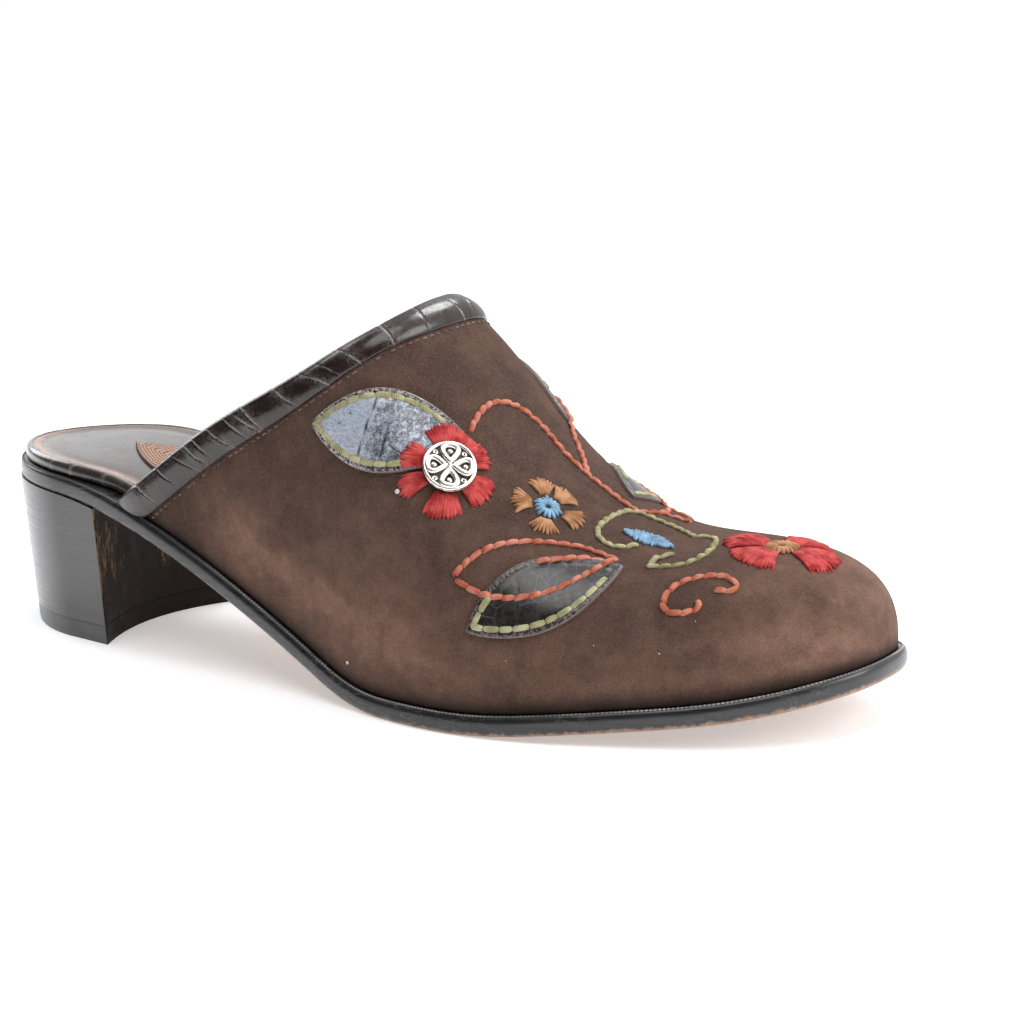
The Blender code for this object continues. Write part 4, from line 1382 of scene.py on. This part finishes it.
TOE_PLACE = (233.4 * MM, 0.485)
INNER_PLACE = (163.5 * MM, 0.775)
BLUE_LEAF_PLACE = (204.6 * MM, 0.437)

# Parts of the leaves that carry running stitch: from and to as shares of the length, and side
OLIVE_SPANS = {
    "leaf_patch_outer_rear": ((0.02, 0.80, 1), (0.02, 0.74, -1)),
    "leaf_patch_outer_front": ((0.03, 0.21, 1), (0.03, 0.87, -1)),
    "leaf_patch_inner_rear": ((0.02, 0.78, 1), (0.02, 0.78, -1)),
    "leaf_patch_inner_front": ((0.03, 0.97, 1), (0.03, 0.80, -1))}


def patch_height(x, v):
    """Height of the leaf patches above the suede, from each leaf's own outline."""
    total = np.zeros(np.broadcast_shapes(np.shape(x), np.shape(v)))
    point = last_point(x, v)
    for leaf, (x0, v0, lean, length, _) in LEAVES.items():
        place = np.array((x0, v0))
        along, across, out = np.moveaxis((point - last_point(*place)) @ axes_at(*place).T, -1, 0)
        along, across = turned_by(-lean, along, across)
        t = np.clip(along / length + 0.5, 0, 1)
        room = leaf_half(leaf, t) - np.abs(across)
        near = out > -14 * MM
        total = np.maximum(total, (GAP + 0.75 * LEAF_THICK) * near * smoothstep(room / (0.9 * MM) + 0.5))
    return total


def smooth_line(points, count=400):
    """Natural spline through given points (x mm, v), as many close places (x, v)."""
    points = np.array(points) * (MM, 1.0)
    run = travelled(points * (1.0, GIRTH))
    at = np.linspace(0, run[-1], count)
    return spline(run, points[:, 0], at), spline(run, points[:, 1], at)


def strands(x, v, width, height, lift, draw, face=1, sway=0.0, blunt=0.4):
    """Plump strands along rows of places: each dives in at both ends.

    The centre's lift is the base plus height times sin(pi t)^blunt, less a bite at the ends,
    width and height shrink to a little over a half at the ends, and sway shifts the centre
    from one side of its row at its start to the other at its end.
    """
    t = np.linspace(0, 1, x.shape[1])[None, :]
    arch = np.sin(np.pi * t) ** blunt
    normal = face * last_frame(x, v)[1]
    rise = lift + height * (0.66 * arch - 0.34) * (1 + 0.12 * draw.uniform(-1, 1, (len(x), 1)))
    centre = skin(x, v, face * rise)
    beside = unit(np.cross(normal, np.gradient(centre, axis=1)))
    centre = centre + sway * ((2 * t - 1)[..., None] * beside)
    taper = (0.55 + 0.45 * arch) * (1 + 0.08 * draw.uniform(-1, 1, (len(x), 1)))
    rings = yarn(centre, normal, width * taper, height * taper)
    rings[:, 0], rings[:, -1] = centre[:, :1], centre[:, -1:]
    points, faces = tubes(rings)
    steps = np.linalg.norm(np.diff(centre, axis=1), axis=-1)
    run = np.concatenate([0 * steps[:, :1], np.cumsum(steps, 1)], 1)
    around = np.linspace(0, 1, rings.shape[2]) * 2.6 * np.mean(width)
    uv = stacked(run[:, :, None] + 0.05 * np.arange(len(x))[:, None, None], around + 0 * run[:, :, None])
    return points, faces, uv.reshape(-1, 2)


def stitched(line, length, gap, width, height, draw, lift=None, face=1, steps=9, **shape):
    """Stitches end to end along a line of places, their ends varied a little."""
    x, v = line
    run = travelled(last_point(x, v))
    count = max(int(round(run[-1] / (length + gap))), 1)
    ends = np.linspace(0, run[-1], count + 1)
    ends[1:-1] += 0.12 * length * draw.uniform(-1, 1, count - 1)
    t = np.linspace(0, 1, steps)[None, :]
    start, end = ends[:-1, None], ends[1:, None] - gap
    where = start + t * (end - start)
    xs, vs = np.interp(where, run, x), np.interp(where, run, v)
    vs = vs + 0.10 * MM * draw.uniform(-1, 1, (count, 1)) * (2 * t - 1) / GIRTH
    base = patch_height(xs, vs) if lift is None else lift
    return strands(xs, vs, width, height, base, draw, face, **shape)


def petals(place, table, width, draw, inner_share, rise, spacing=0.68 * MM):
    """Fans of satin strands round a place, side by side from an inner to an outer radius."""
    shapes = []
    for direction, spread, inner, outer in table:
        arc = 2 * np.radians(spread) * 0.62 * (inner + outer) * MM
        count = max(int(round(arc / spacing)), 4)
        u = np.linspace(-1, 1, count)[:, None]
        u = u + 0.35 / count * draw.uniform(-1, 1, u.shape)
        t = np.linspace(0, 1, 9)[None, :]
        reach = outer * (1 - 0.07 * u ** 2) + 0.45 * draw.uniform(-1, 1, u.shape)
        radius = (inner + (reach - inner) * t) * MM
        angle = np.radians(direction + spread * u * (inner_share + (1 - inner_share) * t))
        x, v = draped(place, radius * np.cos(angle), radius * np.sin(angle))
        crown = rise * (0.5 - 0.3 * u ** 2) * MM * np.sin(np.pi * np.clip(0.12 + 0.80 * t, 0, 1))
        shapes.append(strands(x, v, width, 0.75 * MM, patch_height(x, v) + crown, draw))
    return shapes


def blue_leaf(draw):
    """Satin lens: strands slant from its lower edge, a shallow arc, up to its upper arc."""
    u = np.linspace(0, 1, 24)[:, None]
    t = np.linspace(0, 1, 9)[None, :]
    ragged = 0.5 * draw.uniform(-1, 1, (2, len(u), 1))
    low = stacked(-5.6 + 13.0 * u, 0.2 - 2.4 * u - 1.9 * np.sin(np.pi * u) ** 0.7 + ragged[0])
    high = stacked(-6.6 + 13.0 * u, 0.9 - 2.4 * u + 3.7 * np.sin(np.pi * u) ** 0.7 + ragged[1])
    along, across = np.moveaxis((low + (high - low) * t[..., None]) * MM, -1, 0)
    x, v = draped(BLUE_LEAF_PLACE, along, across)
    return strands(x, v, 0.85 * MM, 0.75 * MM, 0.30 * MM, draw)


def mirrored(points):
    """The same line on the inner side of the foot, further back and a little lower."""
    return [(x - INNER_BACK, 1 - v - INNER_UP) for x, v in points]


def leaf_line(leaf, start, end, side, inset, count=300):
    """Places along one side of a leaf, drawn in from its edge, from one share to another."""
    t = np.linspace(start, end, count)
    s = np.full(count, float(side))
    return draped(LEAVES[leaf][:2], *leaf_plane(leaf, t, s, inset))


# Depth of the plies on twisted yarn and on loose floss
TWIST, FLOSS = 0.28, 0.04


def make_thread(name, settings, shapes, twist=TWIST):
    """All strands of one colour as one piece."""
    points, faces = joined(*[shape[:2] for shape in shapes])
    uv = np.concatenate([shape[2] for shape in shapes])
    look = yarn_finish(name, getattr(settings, name), twist)
    make("embroidery_" + name, (points, faces), look, "upper_suede", uv=uv, sharp=80)


def make_embroidery(settings):
    """Backstitched stems and leaves, satin petals, and running stitch round the patches."""
    draw = np.random.default_rng(7)

    def backstitch(lines):
        return [stitched(smooth_line(line), settings.stitch, -0.9 * MM, settings.width, settings.height,
                         draw, sway=0.24 * MM, blunt=0.6) for line in lines]

    lines = [*CORAL_LINES.values(), *(mirrored(CORAL_LINES[name]) for name in CORAL_MIRRORED)]
    make_thread("coral", settings, backstitch(lines))
    make_thread("green", settings, backstitch(GREEN_LINES.values()))
    run = (4.2 * MM, -0.55 * MM, settings.width, settings.height * 0.7, draw)
    make_thread("olive", settings, [
        stitched(leaf_line(leaf, start, end, side, settings.border_inset), *run)
        for leaf, spans in OLIVE_SPANS.items() for start, end, side in spans])

    satin = settings.satin_width
    red = petals(BUTTON_PLACE, RED_PETALS, satin, draw, 0.85, 1.5)
    red += petals(TOE_PLACE, TOE_PETALS, satin, draw, 0.8, 1.1)
    red += petals(INNER_PLACE, INNER_PETALS, satin, draw, 0.8, 1.1)
    make_thread("red", settings, red, FLOSS)
    ochre = petals(OCHRE_PLACE, OCHRE_PETALS, satin * 0.8, draw, 0.45, 0.6, 0.80 * MM)
    ochre += petals(TOE_PLACE, TOE_CENTRE, satin, draw, 1.0, 1.0, 0.85 * MM)
    ochre += petals(INNER_PLACE, ROUND_CENTRE, satin, draw, 1.0, 1.7, 0.9 * MM)
    make_thread("ochre", settings, ochre, FLOSS)
    blue = petals(OCHRE_PLACE, ROUND_CENTRE, satin * 0.9, draw, 1.0, 0.7, 0.95 * MM) + [blue_leaf(draw)]
    make_thread("blue", settings, blue, FLOSS)


def make_seams(settings):
    """Fine rows of stitches that hold the binding, outside on the suede and inside."""
    draw = np.random.default_rng(11)
    v = np.linspace(0.004, 0.996, 1200)
    rows = []
    for down, lift, face in ((binding_width(v) + 0.9 * MM, 0.0, 1),
                             (BINDING_INSIDE - 1.5 * MM, WALL + 0.78 * MM, -1)):
        line = collar_x(v) + down * collar_pace(v), v
        rows.append(stitched(line, settings.seam_stitch, 0.45 * MM, 0.5 * MM, 0.42 * MM, draw, lift,
                             face, 6))
    make_thread("seam", settings, rows)


# Lint on the suede: x mm, v, size mm
LINT = ((156.9, 0.225, 1.3), (142.5, 0.019, 0.9), (208.0, 0.150, 0.3), (222.0, 0.130, 0.35),
        (189.0, 0.100, 0.25), (228.0, 0.210, 0.25))


def make_lint(settings):
    """Specks of lint caught in the nap: flattened round grains."""
    x, v, size = np.array(LINT).T
    turn = round_turn(10)
    rise = np.linspace(-np.pi / 2, np.pi / 2, 6)[:, None]
    ball = stacked(np.cos(rise) * np.cos(turn), np.cos(rise) * np.sin(turn), 0.6 * np.sin(rise))
    grains = (size[:, None, None, None] / 2 * MM * ball) @ axes_at(x * MM, v)[:, None]
    points = skin(x * MM, v, 0.15 * MM)[:, None, None] + grains
    make("lint_specks", tubes(points), lint_finish(settings), "upper_suede")


# ---------------------------------------------------------------------------------------
# Floor, light and camera


def turned_axes(azimuth, elevation, roll):
    """Unit vectors backwards, rightwards and upwards of a camera at those angles, in degrees."""
    a, e, r = (np.radians(angle) for angle in (azimuth, elevation, roll))
    back = np.array((np.sin(a) * np.cos(e), -np.cos(a) * np.cos(e), np.sin(e)))
    right = np.array((np.cos(a), np.sin(a), 0.0))
    up = np.cross(back, right)
    return back, right * np.cos(r) + up * np.sin(r), up * np.cos(r) - right * np.sin(r)


def aim(thing, place, back, right, up):
    """Places an object that looks against back."""
    matrix = np.eye(4)
    matrix[:3, :3] = np.stack([right, up, back], -1)
    matrix[:3, 3] = place
    thing.matrix_world = matrix.T.tolist()


def make_floor(settings):
    """Round pale floor, lit a little from within so that it stays white far from the shoe."""
    radius = np.array([0.0, 0.2, 0.35, 0.5, 0.7, 0.9, 1.2, 1.6, 2.0, 4.0, 9.6])[:, None]
    turn = round_turn(96)
    rings = stacked(radius * np.cos(turn), radius * np.sin(turn), -CLEAR)
    spread = ramp(np.linalg.norm(rings, axis=-1), 0.35, 1.6)
    mesh = surface("floor", rings, grid_faces(*rings.shape[:2], wrap=True), floor_finish(settings),
                   {"far": spread})
    floor = linked("floor", mesh)


# Lamps: name, azimuth, elevation, distance m, size m, power W
LIGHTS = (
    ("overhead", 20, 72, 1.5, 1.1, 10.0),
    ("left_panel", -102, 30, 1.4, 0.9, 6.5),
    ("right_panel", 96, 34, 1.4, 0.9, 9.0),
    ("back_panel", 176, 58, 1.5, 0.6, 8.5))


def make_lights(settings):
    """Soft studio light: large panels above, behind and to the left, darker from the front."""
    for name, azimuth, elevation, distance, size, power in LIGHTS:
        data = bpy.data.lights.new(name, "AREA")
        data.shape, data.size, data.energy = "DISK", size, power * settings.light
        back, right, up = turned_axes(azimuth, elevation, 0)
        aim(linked(name, data), back * distance, back, right, up)
    world = bpy.data.worlds.new("studio")
    world.use_nodes = True
    bpy.context.scene.world = world
    n = Nodes(world.node_tree)
    back = turned_axes(settings.azimuth + settings.dark_turn, 6, 0)[0]
    toward = n.add("TexCoord", {}, "Generated")
    facing = n.add("VectorMath", {0: toward, 1: tuple(back)}, "Value", operation="DOT_PRODUCT")
    shade = n.fit(facing, -0.45, 0.70, settings.surround, settings.surround_front)
    n.put(n.tree.nodes["Background"], {"Strength": shade, "Color": (0.97, 0.985, 1.0, 1)})


def make_camera(settings):
    """Camera turned round the shoe's middle, moved back, right and up, then rolled."""
    data = bpy.data.cameras.new("camera")
    data.lens, data.sensor_width = settings.lens, 36.0
    data.clip_start = 0.01
    camera = linked("camera", data)
    back, right, up = turned_axes(settings.azimuth, settings.elevation, settings.roll)
    middle = np.array((0, SHIFT[1], settings.target_height))
    place = middle + back * settings.distance - right * settings.right - up * settings.up
    aim(camera, place, back, right, up)
    bpy.context.scene.camera = camera
    bpy.context.scene.view_settings.view_transform = "Standard"


# ---------------------------------------------------------------------------------------
# Settings


def swatch(name, description, *default):
    """A colour."""
    return FloatVectorProperty(name=name, description=description, default=default,
                               subtype="COLOR", size=3, min=0.0, max=1.0)


def amount(name, description, default, **limits):
    """A plain number."""
    return FloatProperty(name=name, description=description, default=default, **limits)


def measure(name, description, default, least=0.0):
    """A length in metres."""
    return amount(name, description, default, unit="LENGTH", precision=5, min=least)


def whole(name, description, default):
    """A whole number of steps."""
    return IntProperty(name=name, description=description, default=default, min=3)


class UpperSettings(bpy.types.PropertyGroup):
    """Suede and lining of the upper."""
    suede_thick: measure("Suede", "Thickness of the suede, less than the wall", 1.0 * MM)
    rows: whole("Rows", "Steps from collar to toe", 190)
    columns: whole("Columns", "Steps across the foot", 220)
    cloud_scale: amount("Blotches", "How many blotches to a metre", 55.0)
    dark: swatch("Dark suede", "Suede where the nap lies deep", 0.052, 0.029, 0.022)
    # Pale suede is also the colour of painted light, where the worn mark lifts the low band and the toe.
    pale: swatch("Pale suede", "Suede where it is worn", 0.290, 0.161, 0.116)
    fibre: swatch("Fibre", "Tips of the nap", 0.190, 0.120, 0.094)
    lining: swatch("Lining", "Leather inside the upper", 0.020, 0.015, 0.013)
    lint: swatch("Lint", "Specks in the nap", 0.62, 0.58, 0.54)


class BindingSettings(bpy.types.PropertyGroup):
    """Strip folded over the collar."""
    steps: whole("Steps", "Steps along the collar", 760)
    scale_length: measure("Scales", "Length of a pressed scale along the strip", 7.0 * MM)
    colour: swatch("Leather", "Espresso leather", 0.012, 0.0055, 0.0045)
    pale: swatch("Creases", "Worn creases between the scales", 0.36, 0.32, 0.30)


class SoleSettings(bpy.types.PropertyGroup):
    """Leather outsole."""
    stations: whole("Stations", "Sections along the sole", 340)
    bead_pitch: measure("Bead pitch", "Distance between beads of the wheeled line", 1.0 * MM)
    bead_width: measure("Bead width", "Width of the beads", 0.7 * MM)
    # The edge is one dye; the lighter lower band is a painted reflection on the rounded edge.
    edge_high: swatch("Upper band", "Edge dye, upper band", 0.012, 0.012, 0.013)
    edge_low_painted_light: swatch("Lower band", "Edge dye, lower band", 0.026, 0.025, 0.027)
    tan: swatch("Bare leather", "Undyed leather underneath and where worn", 0.44, 0.27, 0.18)
    bead: swatch("Bead", "Top of the beads", 0.36, 0.33, 0.31)


class HeelSettings(bpy.types.PropertyGroup):
    """Stacked heel and its lift."""
    heel: swatch("Heel", "Dyed stacked leather", 0.012, 0.0105, 0.0115)
    heel_pale: swatch("Level lines", "Paler lines of the stack", 0.040, 0.037, 0.038)
    breast_thick: measure("Skin", "Thickness of the skin on the heel's front", 0.3 * MM)
    breast: swatch("Breast", "Leather on the heel's front", 0.009, 0.0055, 0.004)
    scuff: swatch("Scuffs", "Bare leather where the breast is scuffed", 0.34, 0.20, 0.09)
    lift: swatch("Lift", "Rubber under the heel", 0.014, 0.014, 0.015)


class InsoleSettings(bpy.types.PropertyGroup):
    """Wrapped insole and the patch sewn on it."""
    stations: whole("Stations", "Sections along the insole", 300)
    crease_spacing: measure("Creases", "Distance between creases in the rim", 11.0 * MM)
    middle: swatch("Middle", "Smooth middle", 0.062, 0.046, 0.038)
    burnish: swatch("Burnish", "Band inside the rim", 0.42, 0.19, 0.10)
    rim: swatch("Rim", "Rim and edge", 0.032, 0.022, 0.019)
    sock: swatch("Patch", "Tan patch", 0.415, 0.206, 0.129)


class LeafSettings(bpy.types.PropertyGroup):
    """Leaf-shaped patches."""
    stitch_inset: measure("Stitch line", "Distance of the stitch line from the edge", 2.0 * MM)
    patent: swatch("Patent", "Dark leather without silver", 0.013, 0.010, 0.009)
    foil: swatch("Foil", "Silvered leather", 0.66, 0.73, 0.85)
    foil_dark: swatch("Cracks", "Dark leather in the cracks", 0.030, 0.030, 0.032)
    foil_edge: swatch("Raw edge", "Cut edge", 0.15, 0.11, 0.098)


class ButtonSettings(bpy.types.PropertyGroup):
    """Metal button."""
    turn: amount("Turn", "Turn of the four loops", -37.0)
    lift: measure("Lift", "Height of the button's base over the suede", 1.35 * MM)
    silver: swatch("Silver", "High places", 0.84, 0.80, 0.74)
    silver_dark: swatch("Patina", "Hollows", 0.16, 0.14, 0.125)


class YarnSettings(bpy.types.PropertyGroup):
    """Embroidery yarn and seams."""
    stitch: measure("Stitch", "Length of a backstitch", 3.9 * MM)
    width: measure("Width", "Width of a backstitch", 1.5 * MM)
    height: measure("Height", "Height of a backstitch", 1.05 * MM)
    satin_width: measure("Satin", "Width of a strand of satin stitch", 1.05 * MM)
    border_inset: measure("Border", "Distance of the patch stitches from the edge", 2.0 * MM)
    seam_stitch: measure("Seam stitch", "Length of a stitch along the binding", 1.7 * MM)
    coral: swatch("Coral", "Stems and leaves", 0.49, 0.122, 0.06)
    green: swatch("Green", "Scroll", 0.33, 0.315, 0.145)
    olive: swatch("Olive", "Stitches on the patches", 0.36, 0.35, 0.175)
    red: swatch("Red", "Petals", 0.50, 0.027, 0.026)
    ochre: swatch("Ochre", "Small flower", 0.43, 0.205, 0.085)
    blue: swatch("Blue", "Small flower's middle, and leaf", 0.21, 0.40, 0.58)
    seam: swatch("Seam thread", "Rows along the binding", 0.085, 0.048, 0.034)


class StageSettings(bpy.types.PropertyGroup):
    """Floor, light and camera."""
    floor: swatch("Floor", "Pale floor", 0.84, 0.84, 0.85)
    floor_glow: amount("Glow", "Light that the floor gives by itself", 0.44, min=0.0)
    light: amount("Light", "Strength of all lamps", 1.0, min=0.0)
    surround: amount("Surround", "Light from all round", 1.05, min=0.0)
    surround_front: amount("Front", "Light from the dark side", 0.07, min=0.0)
    dark_turn: amount("Dark side", "Turn from the camera to the dark side", -52.0)
    azimuth: amount("Azimuth", "Camera's angle round the shoe, degrees", 35.73)
    elevation: amount("Elevation", "Camera's angle above the floor, degrees", 12.46)
    roll: amount("Roll", "Camera's roll, degrees", -2.02)
    lens: amount("Lens", "Focal length, mm", 80.05, min=1.0)
    distance: measure("Distance", "Camera's distance from the middle", 569.92 * MM)
    target_height: measure("Aim height", "Height of the point that the camera turns round", 45.0 * MM)
    right: measure("Right", "Shoe's place right of the middle", -26.63 * MM, -1.0)
    up: measure("Up", "Shoe's place above the middle", 6.23 * MM, -1.0)


# ---------------------------------------------------------------------------------------
# Operators, panel and registration


class MakeUpper(bpy.types.Operator):
    """Make the suede and lining"""
    bl_idname = "mule.make_upper"
    bl_label = "Upper"

    def execute(self, context):
        make_upper(context.scene.mule_upper)
        return {"FINISHED"}


class MakeBinding(bpy.types.Operator):
    """Make the strip folded over the collar"""
    bl_idname = "mule.make_binding"
    bl_label = "Collar binding"

    def execute(self, context):
        make_binding(context.scene.mule_binding)
        return {"FINISHED"}


class MakeOutsole(bpy.types.Operator):
    """Make the outsole and its wheeled bead line"""
    bl_idname = "mule.make_outsole"
    bl_label = "Outsole"

    def execute(self, context):
        make_outsole(context.scene.mule_sole)
        return {"FINISHED"}


class MakeHeel(bpy.types.Operator):
    """Make the stacked heel and its lift"""
    bl_idname = "mule.make_heel"
    bl_label = "Heel"

    def execute(self, context):
        make_heel(context.scene.mule_heel)
        return {"FINISHED"}


class MakeInsole(bpy.types.Operator):
    """Make the wrapped insole and the patch on it"""
    bl_idname = "mule.make_insole"
    bl_label = "Insole"

    def execute(self, context):
        make_insole(context.scene.mule_insole)
        make_sock_patch(context.scene.mule_insole)
        return {"FINISHED"}


class MakeLeaves(bpy.types.Operator):
    """Make the leaf patches"""
    bl_idname = "mule.make_leaves"
    bl_label = "Leaf patches"

    def execute(self, context):
        make_leaves(context.scene.mule_leaf)
        return {"FINISHED"}


class MakeButton(bpy.types.Operator):
    """Make the metal button"""
    bl_idname = "mule.make_button"
    bl_label = "Button"

    def execute(self, context):
        make_button(context.scene.mule_button)
        return {"FINISHED"}


class MakeEmbroidery(bpy.types.Operator):
    """Make the embroidery, the binding's seams and the lint in the nap"""
    bl_idname = "mule.make_embroidery"
    bl_label = "Embroidery"

    def execute(self, context):
        make_embroidery(context.scene.mule_yarn)
        make_seams(context.scene.mule_yarn)
        make_lint(context.scene.mule_upper)
        return {"FINISHED"}


class MakeStage(bpy.types.Operator):
    """Make the floor, the lights and the camera"""
    bl_idname = "mule.make_stage"
    bl_label = "Stage"

    def execute(self, context):
        make_floor(context.scene.mule_stage)
        make_lights(context.scene.mule_stage)
        make_camera(context.scene.mule_stage)
        return {"FINISHED"}


SETTINGS = {
    "mule_upper": UpperSettings,
    "mule_binding": BindingSettings,
    "mule_sole": SoleSettings,
    "mule_heel": HeelSettings,
    "mule_insole": InsoleSettings,
    "mule_leaf": LeafSettings,
    "mule_button": ButtonSettings,
    "mule_yarn": YarnSettings,
    "mule_stage": StageSettings}
OPERATORS = (MakeUpper, MakeBinding, MakeOutsole, MakeHeel, MakeInsole, MakeLeaves, MakeButton,
             MakeEmbroidery, MakeStage)


class MulePanel(bpy.types.Panel):
    """Lists every piece's operator and settings"""
    bl_idname = "VIEW3D_PT_mule"
    bl_label = "Embroidered mule"
    bl_space_type = "VIEW_3D"
    bl_region_type = "UI"
    bl_category = "Mule"

    def draw(self, context):
        for (label, group), operator in zip(SETTINGS.items(), OPERATORS):
            box = self.layout.box()
            box.operator(operator.bl_idname)
            for setting in group.__annotations__:
                box.prop(getattr(context.scene, label), setting)


def register():
    for group in SETTINGS.values():
        bpy.utils.register_class(group)
    for label, group in SETTINGS.items():
        setattr(bpy.types.Scene, label, PointerProperty(type=group))
    for kind in (*OPERATORS, MulePanel):
        bpy.utils.register_class(kind)


def unregister():
    for kind in (MulePanel, *reversed(OPERATORS)):
        bpy.utils.unregister_class(kind)
    for label in SETTINGS:
        delattr(bpy.types.Scene, label)
    for group in reversed(list(SETTINGS.values())):
        bpy.utils.unregister_class(group)


def main():
    register()
    bpy.ops.mule.make_upper()
    bpy.ops.mule.make_binding()
    bpy.ops.mule.make_outsole()
    bpy.ops.mule.make_heel()
    bpy.ops.mule.make_insole()
    bpy.ops.mule.make_leaves()
    bpy.ops.mule.make_button()
    bpy.ops.mule.make_embroidery()
    bpy.ops.mule.make_stage()


if __name__ == "__main__":
    main()
